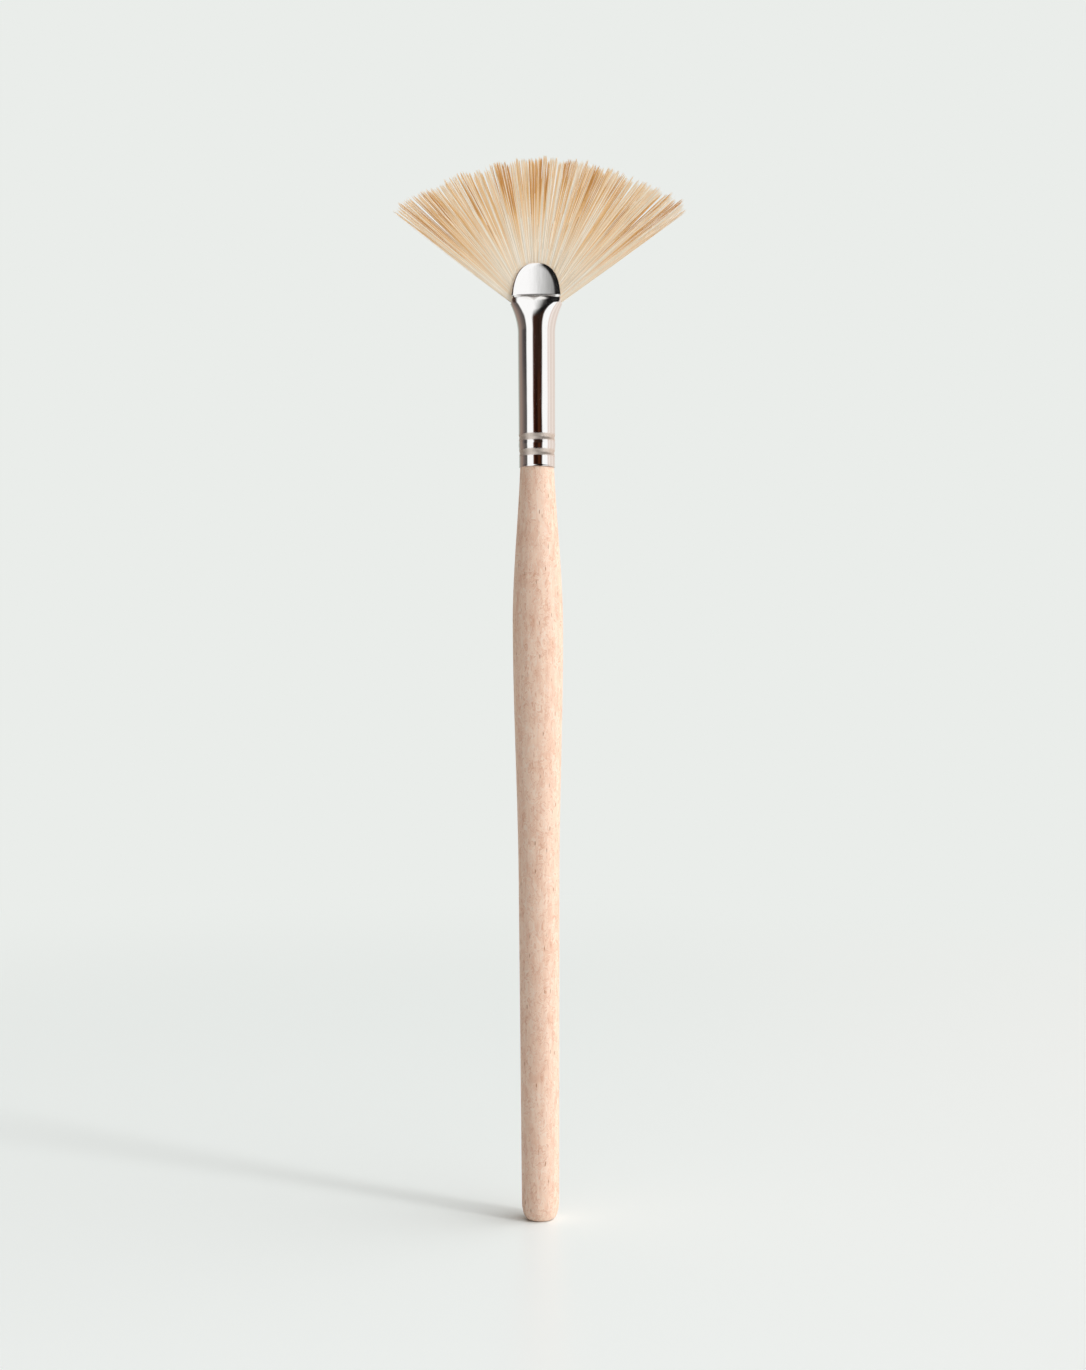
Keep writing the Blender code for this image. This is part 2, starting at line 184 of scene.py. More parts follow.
def box_way(right, up):
    """The direction that is so many degrees right of the camera and up."""
    right, up = math.radians(right), math.radians(up)
    return Vector((math.cos(up) * math.sin(right), -math.cos(up) * math.cos(right), math.sin(up)))


soft_light = (ROOM_FILL, ROOM_FILL, ROOM_FILL)
for right, up, narrowness, strength, tone in SOFT_BOXES:
    facing = add_node(
        sky, "VectorMath", {0: level_ray, 1: box_way(right, up)}, operation="DOT_PRODUCT"
    )
    near = add_node(sky, "Math", {0: facing.outputs["Value"], 1: 0.0}, operation="MAXIMUM")
    patch = add_node(sky, "Math", {0: near, 1: narrowness}, operation="POWER")
    light = Vector(colour(tone)[:3]) * strength
    soft_light = add_node(
        sky, "VectorMath", {0: patch, 1: light, 2: soft_light}, operation="MULTIPLY_ADD"
    )
print("matt surfaces are lit by", len(SOFT_BOXES), "soft patches")

# %% The tones that polished metal sees
# Each stop is a direction round the brush, in degrees from the camera and positive to the right,
# with the tone that the metal shows there. Each ring of stops is one height in the room. The two
# lower rings share the walls at the sides.
LEFT_WALL = (
    (-180, "#BFC6BF"),
    (-150, "#B9BDB6"),
    (-138, "#9A8E85"),
    (-112, "#917D72"),
)
RIGHT_WALL = (
    (70, "#FFFFFF"),
    (76, "#DFCBC2"),
    (84, "#F5ECE6"),
    (100, "#E2D3C9"),
    (118, "#F0E4DC"),
    (140, "#DDCDC3"),
    (160, "#EDE3DC"),
    (180, "#BFC6BF"),
)
LOW_RING = (
    *LEFT_WALL,
    (-98, "#7A6C66"),
    (-86, "#665C58"),
    (-68, "#54504E"),
    (-61, "#FFFFFF"),
    (-27, "#FFFFFF"),
    (-21, "#5E3A2B"),
    (-12, "#2A1009"),
    (2, "#1C0B06"),
    (12, "#4A2817"),
    (30, "#2C130B"),
    (37, "#FFFFFF"),
    *RIGHT_WALL,
)
MIDDLE_RING = (
    *LEFT_WALL,
    (-98, "#6B6260"),
    (-86, "#4C4646"),
    (-68, "#3B3738"),
    (-61, "#FFFFFF"),
    (-27, "#FFFFFF"),
    (-20, "#4A2F26"),
    (-8, "#34211A"),
    (14, "#2A1C16"),
    (31, "#38261E"),
    (38, "#FFFFFF"),
    *RIGHT_WALL,
)
HIGH_RING = (
    (-180, "#BFC6BF"),
    (-128, "#8E8782"),
    (-98, "#4A3A33"),
    (-74, "#3A2A24"),
    (-64, "#FFFFFF"),
    (-30, "#FFFFFF"),
    (-22, "#B0B0AF"),
    (-12, "#454342"),
    (0, "#151313"),
    (84, "#0F0D0D"),
    (98, "#C9B8B0"),
    (130, "#E6DAD3"),
    (180, "#BFC6BF"),
)
TOP_RING = (
    (-180, "#E2E2DE"),
    (-128, "#B8B3AE"),
    (-98, "#8A817C"),
    (-66, "#F2F0EE"),
    (-30, "#FBFAF8"),
    (-10, "#EFEDEA"),
    (6, "#5A5756"),
    (16, "#171414"),
    (74, "#120F0F"),
    (92, "#E8DDD7"),
    (150, "#E6DFDA"),
    (180, "#E2E2DE"),
)
print("the room has", len(LOW_RING + MIDDLE_RING + HIGH_RING + TOP_RING), "stops")

# %% The slanting edge
# The edge between the left light box and the dark card slants to the right above the brush. The
# ray's azimuth is shifted to match, so that the rings' stops can stay where they are.
EDGE_LOW = math.radians(-20)
EDGE_HIGH = math.radians(8)
SLANT_FOOT = math.radians(12)
SLANT_TOP = math.radians(30)
BOX_LEFT = math.radians(-64)
BEHIND = math.radians(180)

edge_way = add_node(
    sky, "MapRange", {0: elevation, 1: SLANT_FOOT, 2: SLANT_TOP, 3: EDGE_LOW, 4: EDGE_HIGH}
)
left_of_edge = add_node(
    sky, "MapRange", {0: azimuth, 1: BOX_LEFT, 2: edge_way, 3: BOX_LEFT, 4: EDGE_LOW}, clamp=False
)
right_of_edge = add_node(
    sky, "MapRange", {0: azimuth, 1: edge_way, 2: BEHIND, 3: EDGE_LOW, 4: BEHIND}, clamp=False
)
slanted = add_node(sky, "Math", {0: left_of_edge, 1: right_of_edge}, operation="MAXIMUM")
room_azimuth = add_node(sky, "Math", {0: azimuth, 1: slanted}, operation="MINIMUM")
print("the edge slants by", round(math.degrees(EDGE_HIGH - EDGE_LOW)), "degrees")

# %% The rings of tones
# Between these heights, in degrees above the horizon, each ring changes to the one above it.
RING_CHANGES = ((8.2, 9.4), (14, 20), (62, 78))


def room_ring(stops):
    """A ring of tones round the brush, as a ramp over the ray's azimuth."""
    turn = add_node(
        sky, "Math", {0: room_azimuth, 1: 0.5 / math.pi, 2: 0.5}, operation="MULTIPLY_ADD"
    )
    ring = add_node(sky, "ValToRGB", {0: turn})
    return set_ramp(ring, *[(degrees / 360 + 0.5, tone) for degrees, tone in stops])


room = room_ring(LOW_RING)
for stops, (change_foot, change_top) in zip((MIDDLE_RING, HIGH_RING, TOP_RING), RING_CHANGES):
    rise = add_node(
        sky,
        "MapRange",
        {0: elevation, 1: math.radians(change_foot), 2: math.radians(change_top)},
        interpolation_type="SMOOTHSTEP",
    )
    room = add_node(sky, "MixRGB", {0: rise, 1: room, 2: room_ring(stops)})
print("polished metal sees", len(RING_CHANGES) + 1, "rings of tones")

# %% The sky's three answers
ROOM_STRENGTH = 1.05

rays = add_node(sky, "LightPath")
matt_sky = add_node(sky, "Background", {"Color": soft_light, "Strength": 1.0})
room_sky = add_node(sky, "Background", {"Color": room, "Strength": ROOM_STRENGTH})
plain_sky = add_node(sky, "Background", {"Color": colour(BACKDROP), "Strength": 1.0})
lit_sky = add_node(sky, "MixShader", {0: rays.outputs["Is Glossy Ray"], 1: matt_sky, 2: room_sky})
seen = add_node(
    sky,
    "Math",
    {0: rays.outputs["Is Camera Ray"], 1: rays.outputs["Is Transmission Ray"]},
    operation="MAXIMUM",
)
whole_sky = add_node(sky, "MixShader", {0: seen, 1: lit_sky, 2: plain_sky})
add_node(sky, "OutputWorld", {"Surface": whole_sky})
print("the camera sees", BACKDROP)

# %% [markdown]
# ## The key light and the floor
# The key light throws the long soft shadow to the left and a little back. Its direction was read
# from that shadow, and its width from how quickly the shadow loses its edge. The floor is paper
# with a faint satin finish, which carries a soft mirror image of the butt. Far from the brush it
# fades into the backdrop's colour, as a photographer's sweep does where it bends up.

# %% Key light
KEY_AZIMUTH = math.radians(58)
KEY_ELEVATION = math.radians(41)
KEY_STRENGTH = 0.67
KEY_WIDTH = math.radians(8)

key_data = bpy.data.lights.new("key_light", "SUN")
key_data.energy = KEY_STRENGTH
key_data.angle = KEY_WIDTH
key_light = bpy.data.objects.new("key_light", key_data)
bpy.context.scene.collection.objects.link(key_light)
key_light.rotation_euler = (math.radians(90) - KEY_ELEVATION, 0, KEY_AZIMUTH + CAMERA_TURN)
# The room already holds the light boxes that gloss mirrors, so the key light adds no second glint.
key_light.visible_glossy = False
print("key light from", round(math.degrees(KEY_AZIMUTH)), "degrees right of the camera")

# %% Floor
# A room is measured in metres, and so are these.
FLOOR_SIZE = 6.0
FADE_START = 0.17
FADE_END = 0.50
CARDS_START = 0.15
CARDS_END = 0.24
PAPER = "#EBF0EF"

bpy.ops.object.select_all(action="DESELECT")
bpy.ops.mesh.primitive_plane_add(size=FLOOR_SIZE)
floor = bpy.context.active_object
floor.name = "floor"
# Satin paper is matt with a thin smooth skin, so it mirrors faintly and only at a low angle.
paper, tree, shader = new_material("satin_paper_sweep")
set_inputs(shader, {"Base Color": colour(PAPER), "Roughness": 0.30, "Specular IOR Level": 0.12})
place = add_node(tree, "TexCoord").outputs["Object"]
distance = add_node(tree, "VectorMath", {0: place}, operation="LENGTH")
fade = add_node(
    tree,
    "MapRange",
    {0: distance.outputs["Value"], 1: FADE_START, 2: FADE_END},
    interpolation_type="SMOOTHSTEP",
)
far_paper = add_node(tree, "Emission", {"Color": colour(BACKDROP), "Strength": 1.0})
sweep = add_node(tree, "MixShader", {0: fade, 1: shader, 2: far_paper})
# The cards stand on the paper, so from there on polished metal sees the room's tones instead.
card_line = add_node(
    tree,
    "MapRange",
    {0: distance.outputs["Value"], 1: CARDS_START, 2: CARDS_END},
    interpolation_type="SMOOTHSTEP",
)
mirrored = add_node(tree, "LightPath").outputs["Is Glossy Ray"]
past_paper = add_node(tree, "Math", {0: card_line, 1: mirrored}, operation="MULTIPLY")
open_room = add_node(tree, "BsdfTransparent")
whole_floor = add_node(tree, "MixShader", {0: past_paper, 1: sweep, 2: open_room})
set_inputs(tree.nodes["Material Output"], {"Surface": whole_floor})
floor.data.materials.append(paper)
print("floor is", FLOOR_SIZE, "m wide")

# %% [markdown]
# ## The handle
# The real handle is turned on a lathe from one stick of beech and sanded smooth. It has a rounded
# butt with a small flat, a nearly straight lower half, a swelling above the middle and a long
# taper to the ferrule. A lathe is easy to copy: one vertex is extruded along the outline, and the
# outline is spun once round the axis. Inside the ferrule the stick goes on as a thinner tenon with
# two grooves, which the crimps bite into.

# %% Places read from the measured model
handle_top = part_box("handle")[1].z / MM
belly_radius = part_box("handle")[1].x / MM
ferrule_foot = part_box("ferrule")[0].z / MM
dome_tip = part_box("ferrule")[1].z / MM
mouth_half_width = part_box("ferrule")[1].x / MM
print("ferrule from", round(ferrule_foot, 2), "to", round(dome_tip, 2), "mm")

# %% The handle's outline
BUTT_FLAT_RADIUS = 1.9
BUTT_ROUND_WIDTH = 1.27
BUTT_ROUND_HEIGHT = 2.9
WAIST_HEIGHT = 55.0
WAIST_RADIUS = 3.45
BELLY_HEIGHT = 100.8
NECK_RADIUS = 2.88
SHOULDER_FLOW = 0.82
SHOULDER_DROP = 0.05
TENON_RADIUS = 2.71
TENON_CHAMFER = 0.4
CRIMP_HEIGHT = 1.05
CRIMP_BITE = 0.14
BAND_HEIGHT = 1.9
BEAD_HEIGHT = 1.55
BUTT_STEPS = 14
SHANK_STEPS = 12
BODY_STEPS = 48
TENON_STEPS = 56

shoulder_height = ferrule_foot - SHOULDER_DROP
lower_crimp = ferrule_foot + BAND_HEIGHT + CRIMP_HEIGHT / 2
upper_crimp = lower_crimp + CRIMP_HEIGHT + BEAD_HEIGHT


def ease(share):
    """Rises from 0 to 1, level at both ends."""
    share = min(max(share, 0.0), 1.0)
    return share * share * (3 - 2 * share)


def handle_radius(height):
    """The stick's radius: nearly straight to the waist, swelling, then tapering in."""
    foot_radius = BUTT_FLAT_RADIUS + BUTT_ROUND_WIDTH
    if height < BUTT_ROUND_HEIGHT:
        drop = 1 - height / BUTT_ROUND_HEIGHT
        return BUTT_FLAT_RADIUS + BUTT_ROUND_WIDTH * math.sqrt(1 - drop * drop)
    if height < WAIST_HEIGHT:
        share = (height - BUTT_ROUND_HEIGHT) / (WAIST_HEIGHT - BUTT_ROUND_HEIGHT)
        return foot_radius + (WAIST_RADIUS - foot_radius) * share
    if height < BELLY_HEIGHT:
        share = (height - WAIST_HEIGHT) / (BELLY_HEIGHT - WAIST_HEIGHT)
        return WAIST_RADIUS + (belly_radius - WAIST_RADIUS) * ease(share)
    share = (height - BELLY_HEIGHT) / (shoulder_height - BELLY_HEIGHT)
    flow = ease(share * SHOULDER_FLOW) / ease(SHOULDER_FLOW)
    return belly_radius + (NECK_RADIUS - belly_radius) * flow


def crimp_depth(height, depth):
    """How far a smooth groove of this depth goes in at a height, at either crimp."""
    away = min(abs(height - lower_crimp), abs(height - upper_crimp)) / (CRIMP_HEIGHT / 2)
    return depth * (1 + math.cos(math.pi * away)) / 2 if away < 1 else 0.0


def steps_between(low, high, steps):
    """Evenly spaced values from low up to, and without, high."""
    return [low + (high - low) * step / steps for step in range(steps)]


butt_turns = steps_between(0, math.pi / 2, BUTT_STEPS)
heights = [BUTT_ROUND_HEIGHT * (1 - math.cos(turn)) for turn in butt_turns]
heights += steps_between(BUTT_ROUND_HEIGHT, WAIST_HEIGHT, SHANK_STEPS)
heights += steps_between(WAIST_HEIGHT, shoulder_height, BODY_STEPS) + [shoulder_height]
outline = [(0, 0)] + [(handle_radius(height), height) for height in heights]
tenon_heights = steps_between(shoulder_height, upper_crimp + CRIMP_HEIGHT, TENON_STEPS)
tenon_heights += [upper_crimp + CRIMP_HEIGHT, handle_top - TENON_CHAMFER]
outline += [(TENON_RADIUS - crimp_depth(height, CRIMP_BITE), height) for height in tenon_heights]
outline += [(TENON_RADIUS - TENON_CHAMFER, handle_top), (0, handle_top)]
print("the outline has", len(outline), "points")

# %% Spin the outline
TURN_STEPS = 128

bpy.ops.object.select_all(action="DESELECT")
bpy.ops.mesh.primitive_plane_add(size=MM)
handle = bpy.context.active_object
handle.name = handle.data.name = "turned_handle"
bpy.ops.object.mode_set(mode="EDIT")
bpy.ops.mesh.select_all(action="SELECT")
bpy.ops.mesh.merge(type="CENTER")
for (radius, height), (next_radius, next_height) in zip(outline, outline[1:]):
    move = ((next_radius - radius) * MM, 0, (next_height - height) * MM)
    bpy.ops.mesh.extrude_region_move(TRANSFORM_OT_translate={"value": move})
bpy.ops.mesh.select_all(action="SELECT")
bpy.ops.mesh.spin(steps=TURN_STEPS, angle=2 * math.pi, center=(0, 0, 0), axis=(0, 0, 1))
bpy.ops.mesh.select_all(action="SELECT")
bpy.ops.mesh.remove_doubles(threshold=0.001 * MM)
bpy.ops.mesh.normals_make_consistent(inside=False)
bpy.ops.object.mode_set(mode="OBJECT")
bpy.ops.object.shade_smooth_by_angle(angle=math.radians(40))
print("handle:", len(handle.data.polygons), "faces")

# %% [markdown]
# ## Beech
# Sanded beech is pale and pinkish. Its grain is faint and runs along the stick, with pale and brown
# curls here and there, and its rays show as short brown flecks, which is how beech is told from
# other pale woods. Under a thin satin seal it shines softly along its edges. Each of these is one
# pattern in millimetres on the handle's own coordinates, and each only stains the colour a little:
# real wood is quiet from a step away. Grain, mottle and curls are noise stretched along the stick.
# Noise has no edges, so a colour ramp picks out the part of it that shows.

# %% Sanded beech, its grain
# Pale and pinkish to the eye, with short brown ray flecks and a faint grain along the stick.
GRAIN_WIDTH = 0.5
GRAIN_LENGTH = 7

beech, tree, shader = new_material("sanded_beech")
place = add_node(tree, "TexCoord").outputs["Object"]


def pattern_scale(across, along):
    """The scale at which a pattern's features are this many mm across and along the brush."""
    return Vector((1 / across, 1 / across, 1 / along)) / MM


def stain(tree, below, pattern, stops, tone, blend="MULTIPLY"):
    """Lays a tone over the colour below, as strongly as a ramp of greys over the pattern."""
    amount = set_ramp(add_node(tree, "ValToRGB", {0: pattern}), *stops)
    return add_node(tree, "MixRGB", {0: amount, 1: below, 2: colour(tone)}, blend_type=blend)


grain_place = add_node(
    tree, "Mapping", {"Vector": place, "Scale": pattern_scale(GRAIN_WIDTH, GRAIN_LENGTH)}
)
grain = add_node(
    tree, "TexNoise", {"Vector": grain_place, "Scale": 1.0, "Detail": 4.0, "Roughness": 0.55}
)
grain_stops = ((0.40, "#000000"), (0.66, "#808080"))
wood = stain(tree, colour("#FEDDC6"), grain, grain_stops, "#DDAD90")
print("grain is", GRAIN_WIDTH, "mm wide")

# %% Mottle and curls
# A Location moves each pattern to a place of its own in the noise, so that no two line up.
MOTTLE_WIDTH = 1.3
MOTTLE_LENGTH = 2.8
CURL_WIDTH = 1.2
CURL_LENGTH = 2.4

mottle_place = add_node(
    tree,
    "Mapping",
    {"Vector": place, "Location": (7, 7, 7), "Scale": pattern_scale(MOTTLE_WIDTH, MOTTLE_LENGTH)},
)
mottle = add_node(tree, "TexNoise", {"Vector": mottle_place, "Scale": 1.0, "Detail": 4.0})
wood = stain(tree, wood, mottle, ((0.46, "#000000"), (0.64, "#8C8C8C")), "#DDAF94")

curl_place = add_node(
    tree,
    "Mapping",
    {"Vector": place, "Location": (3, 3, 3), "Scale": pattern_scale(CURL_WIDTH, CURL_LENGTH)},
)
curls = add_node(
    tree, "TexNoise", {"Vector": curl_place, "Scale": 1.0, "Detail": 1.0, "Distortion": 2.6}
)
pale_curls = ((0.44, "#000000"), (0.49, "#B0B0B0"), (0.54, "#000000"))
brown_curls = ((0.55, "#000000"), (0.59, "#B0B0B0"), (0.63, "#000000"))
wood = stain(tree, wood, curls, pale_curls, "#FFF0E4", "MIX")
wood = stain(tree, wood, curls, brown_curls, "#D9A98A")
print("curls are", CURL_WIDTH, "mm wide")

# %% Ray flecks
# A Voronoi pattern has one cell for each fleck, which is a spot in the cell's middle. The cell's
# own random colour chooses how dark the fleck is, and leaves about half of the cells bare. A
# fleck's core and edge are shares of the spacing.
FLECK_SPACING_ACROSS = 0.5
FLECK_SPACING_ALONG = 2.2
FLECK_CORE = 0.12
FLECK_EDGE = 0.24
BARE_CELLS = 0.55
FLECK_STRENGTH = 0.85

fleck_place = add_node(
    tree,
    "Mapping",
    {"Vector": place, "Scale": pattern_scale(FLECK_SPACING_ACROSS, FLECK_SPACING_ALONG)},
)
fleck_cells = add_node(tree, "TexVoronoi", {"Vector": fleck_place, "Scale": 1.0, "Randomness": 1.0})
fleck_shape = add_node(
    tree,
    "MapRange",
    {0: fleck_cells.outputs["Distance"], 1: FLECK_CORE, 2: FLECK_EDGE, 3: 1.0, 4: 0.0},
    interpolation_type="SMOOTHSTEP",
)
fleck_choice = add_node(tree, "SeparateColor", {0: fleck_cells.outputs["Color"]}).outputs["Red"]
fleck_depth = add_node(
    tree, "MapRange", {0: fleck_choice, 1: BARE_CELLS, 2: 1.0, 3: 0.0, 4: FLECK_STRENGTH}
)
flecks = add_node(tree, "Math", {0: fleck_shape, 1: fleck_depth}, operation="MULTIPLY")
wood = add_node(tree, "MixRGB", {0: flecks, 1: wood, 2: colour("#B87C58")})
set_inputs(shader, {"Base Color": wood})
print("flecks are", FLECK_SPACING_ALONG, "mm apart along the stick")

# %% Relief and satin seal
relief = add_node(tree, "Math", {0: flecks, 1: -1.0, 2: grain}, operation="MULTIPLY_ADD")
bump = add_node(tree, "Bump", {"Strength": 0.35, "Distance": 0.03 * MM, "Height": relief})
set_inputs(shader, {"Normal": bump, "Roughness": 0.5, "Specular IOR Level": 0.3})
set_inputs(shader, {"Coat Weight": 0.12, "Coat Roughness": 0.25})
handle.data.materials.append(beech)
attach(handle, "root")
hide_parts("handle")
print("the handle is", beech.name)

# %% [markdown]
# ## The ferrule
# A real ferrule is drawn from thin aluminium sheet. It is a round tube at the crimps, and its top
# is pressed flat and cut to a front and a back tongue, each with a dome-shaped edge. No run of
# extrude and scale gives that exactly, so it is made the way sheet metal is: a flat grid is rolled
# into the tube by formula, and one more grid is pressed into each tongue. Solidify then gives the
# skin its thickness, and Bevel rounds the cut edges so that they catch light.

# %% The ferrule's sizes
TUBE_RADIUS = 3.1
TUBE_SWELL = 0.06
BAND_RADIUS = 3.04
FERRULE_WALL = 0.3
CRIMP_DEPTH = 0.10
BEAD_CROWN = 0.05
LIP_STEP = 0.03
LIP_HEIGHT = 0.3
TUBE_LENGTH = 22.9
FLARE_LENGTH = 6.1
FLARE_POWER = 1.8
FLATTEN_POWER = 4.4
SQUARE_POWER = 4.0
MOUTH_DROP = 1.2
MOUTH_SQUARENESS = 3.0
CREASE_HALF_THICKNESS = 1.8
DOME_HEIGHT = 7.0
DOME_SIDE_STEP = 0.2
DOME_SQUARENESS = 2.5
FACE_FOOT_DEPTH = 2.05
FACE_SIDE_CURVE = 0.018
FACE_LEAN = 0.17
FACE_ROLL = 1.0
FACE_ROLL_DROP = 0.33
FACE_ROLL_REACH = 0.88
LIP_RISE = 0.02
FACE_ROW_GROWTH = 1.3

tube_top = ferrule_foot + TUBE_LENGTH
crease_height = tube_top + FLARE_LENGTH
dome_base = crease_height - MOUTH_DROP
dome_half_width = mouth_half_width - DOME_SIDE_STEP
print("dome from", round(dome_base, 2), "to", round(dome_tip, 2), "mm")

# %% The ferrule's sections
# A section's squareness is 2 where it is round, and more where it is pressed nearer to a box.
ROUND = 2.0
SECTION_STEPS = 160


def tube_radius(height):
    """The outer radius below the mouth: lip, band, crimp, bead, crimp and tube."""
    radius = BAND_RADIUS
    radius += (TUBE_RADIUS - BAND_RADIUS) * ease((height - lower_crimp) / (upper_crimp - lower_crimp))
    radius += TUBE_SWELL * ease((height - upper_crimp) / (tube_top - upper_crimp))
    radius += LIP_STEP * (1 - ease((height - ferrule_foot) / LIP_HEIGHT))
    bead = abs(height - (lower_crimp + upper_crimp) / 2) / (BEAD_HEIGHT / 2)
    if bead < 1:
        radius += BEAD_CROWN * (1 + math.cos(math.pi * bead)) / 2
    return radius - crimp_depth(height, CRIMP_DEPTH)


def mouth_section(height):
    """(half width, half thickness, squareness) of the outer skin at a height."""
    if height <= tube_top:
        return tube_radius(height), tube_radius(height), ROUND
    round_radius = tube_radius(tube_top)
    widening = min((height - tube_top) / (dome_base - tube_top), 1.0) ** FLARE_POWER
    half_width = round_radius + (mouth_half_width - round_radius) * widening
    flattening = min((height - tube_top) / FLARE_LENGTH, 1.0)
    squareness = ROUND + (MOUTH_SQUARENESS - ROUND) * flattening**SQUARE_POWER
    thinning = (round_radius - CREASE_HALF_THICKNESS) * flattening**FLATTEN_POWER
    return half_width, round_radius - thinning, squareness


def quarter_point(section, share):
    """(x, y) on a quarter of the section, from the middle of the front round to the side."""
    half_width, half_thickness, squareness = section
    points = []
    for step in range(SECTION_STEPS + 1):
        turn = math.pi / 2 * step / SECTION_STEPS
        x = half_width * math.sin(turn) ** (2 / squareness)
        points.append((x, half_thickness * math.cos(turn) ** (2 / squareness)))
    lengths = [math.dist(before, after) for before, after in zip(points, points[1:])]
    wanted = share * sum(lengths)
    for before, after, length in zip(points, points[1:], lengths):
        if wanted <= length:
            part = wanted / length
            return [start + (end - start) * part for start, end in zip(before, after)]
        wanted -= length
    return points[-1]


def last_share(is_short_of, halvings):
    """The share, from 0 to 1, up to which a test holds. It is found by halving what is left."""
    low, high = 0.0, 1.0
    for _ in range(halvings):
        middle = (low + high) / 2
        if is_short_of(middle):
            low = middle
        else:
            high = middle
    return low


base_section = mouth_section(dome_base)
edge_share = last_share(lambda share: quarter_point(base_section, share)[0] < dome_half_width, 40)
print("a tongue takes", round(edge_share, 3), "of the mouth's quarter")

# %% Roll the tube from a flat grid
TONGUE_COLUMNS = 52
SIDE_COLUMNS = 14
CRIMPED_ROWS = 72
TUBE_ROWS = 14
FLARE_ROWS = 44


def new_grid(name, columns, rows, place):
    """Adds a grid and puts each vertex where place(column, row) says, in millimetres."""
    bpy.ops.object.select_all(action="DESELECT")
    bpy.ops.mesh.primitive_grid_add(x_subdivisions=columns, y_subdivisions=rows, size=1)
    piece = bpy.context.active_object
    piece.name = piece.data.name = name
    for vert in piece.data.vertices:
        column = round((vert.co.x + 0.5) * columns)
        row = round((vert.co.y + 0.5) * rows)
        vert.co = Vector(place(column, row)) * MM
    return piece


def ring_positions():
    """Where each column stands round the section: 0 is front, 1 right, 2 back and 3 left."""
    front = steps_between(-edge_share, edge_share, TONGUE_COLUMNS)
    front += steps_between(edge_share, 2 - edge_share, SIDE_COLUMNS)
    return front + [spot + 2 for spot in front] + [4 - edge_share]


def section_point(section, spot, height):
    """(x, y, z) of a position on the section's ring."""
    x, y = quarter_point(section, abs((spot + 1) % 2 - 1))
    on_right = 0 < spot < 2
    on_back = 1 < spot < 3
    return x if on_right else -x, y if on_back else -y, height


tube_heights = steps_between(ferrule_foot, upper_crimp + CRIMP_HEIGHT, CRIMPED_ROWS)
tube_heights += steps_between(upper_crimp + CRIMP_HEIGHT, tube_top, TUBE_ROWS)
tube_heights += steps_between(tube_top, dome_base, FLARE_ROWS) + [dome_base]
positions = ring_positions()
rings = []
for height in tube_heights:
    section = mouth_section(height)
    rings.append([section_point(section, spot, height) for spot in positions])
ferrule = new_grid(
    "polished_ferrule", len(positions) - 1, len(rings) - 1, lambda column, row: rings[row][column]
)
print("tube:", len(ferrule.data.vertices), "vertices")

# %% The dome's edge
DOME_STEPS = 400


def dome_table():
    """The dome's edge as (share along it, x, z), from the left corner to the right one."""
    table = []
    length = 0.0
    for step in range(DOME_STEPS + 1):
        turn = math.pi * (step / DOME_STEPS - 0.5)
        x = dome_half_width * math.copysign(abs(math.sin(turn)) ** (2 / DOME_SQUARENESS), turn)
        z = dome_base + DOME_HEIGHT * max(math.cos(turn), 0.0) ** (2 / DOME_SQUARENESS)
        if table:
            length += math.hypot(x - table[-1][1], z - table[-1][2])
        table.append((length, x, z))
    return [(2 * at / length - 1, x, z) for at, x, z in table]


dome = dome_table()


def dome_point(share):
    """(x, z) on the dome's edge, where share runs evenly from -1 to 1."""
    for before, after in zip(dome, dome[1:]):
        if share <= after[0]:
            part = (share - before[0]) / (after[0] - before[0])
            return Vector(before[1:]).lerp(Vector(after[1:]), part)
    return Vector(dome[-1][1:])


print("the dome's edge has", len(dome), "points")

# %% A tongue's outline
# A tongue is a square patch whose foot lies on the mouth's base line. Its sides and its top share
# the dome's edge between them.
SIDE_SHARE = 0.52


def tongue_spot(u, v):
    """(x, z) of a place in the patch, which is u from the left and v from the foot, up to 1."""
    foot = Vector((section_point(base_section, (2 * u - 1) * edge_share, 0)[0], dome_base))
    left_corner, right_corner = dome_point(-1), dome_point(1)
    left_top, right_top = dome_point(SIDE_SHARE - 1), dome_point(1 - SIDE_SHARE)
    corners = left_corner * (1 - u) * (1 - v) + right_corner * u * (1 - v)
    corners += left_top * (1 - u) * v + right_top * u * v
    sides = dome_point(-1 + SIDE_SHARE * v) * (1 - u) + dome_point(1 - SIDE_SHARE * v) * u
    ends = foot * (1 - v) + dome_point((2 * u - 1) * (1 - SIDE_SHARE)) * v
    return sides + ends - corners


def crease_share(u):
    """How far up the patch the crease crosses it."""
    return last_share(lambda v: tongue_spot(u, v).y < crease_height, 20)


print("the crease lies", round(crease_share(0.5), 3), "of the way up a tongue")

# %% A tongue's rows and its depth
# From its foot up, a tongue is a funnel, a small lip that stands out of it, and the face.
FUNNEL_ROWS = 14
LIP_ROWS = 3
FACE_ROWS = 36
TONGUE_ROWS = FUNNEL_ROWS + LIP_ROWS + FACE_ROWS


def row_rise(crease, row):
    """(how far up the patch, how far out of the funnel) a row lies. The lip is a quarter round."""
    if row <= FUNNEL_ROWS:
        return crease * row / FUNNEL_ROWS, 0.0
    turn = (row - FUNNEL_ROWS) / LIP_ROWS * math.pi / 2
    if turn < math.pi / 2:
        return crease + LIP_RISE * (1 - math.cos(turn)), math.sin(turn)
    face_foot = crease + LIP_RISE
    up = ((row - FUNNEL_ROWS - LIP_ROWS) / FACE_ROWS) ** FACE_ROW_GROWTH
    return face_foot + (1 - face_foot) * up, 1.0


def funnel_depth(x, height):
    """How far the funnel under the face lies from the middle plane."""
    half_width, half_thickness, squareness = mouth_section(height)
    return half_thickness * max(1 - abs(x / half_width) ** squareness, 0.0) ** (1 / squareness)


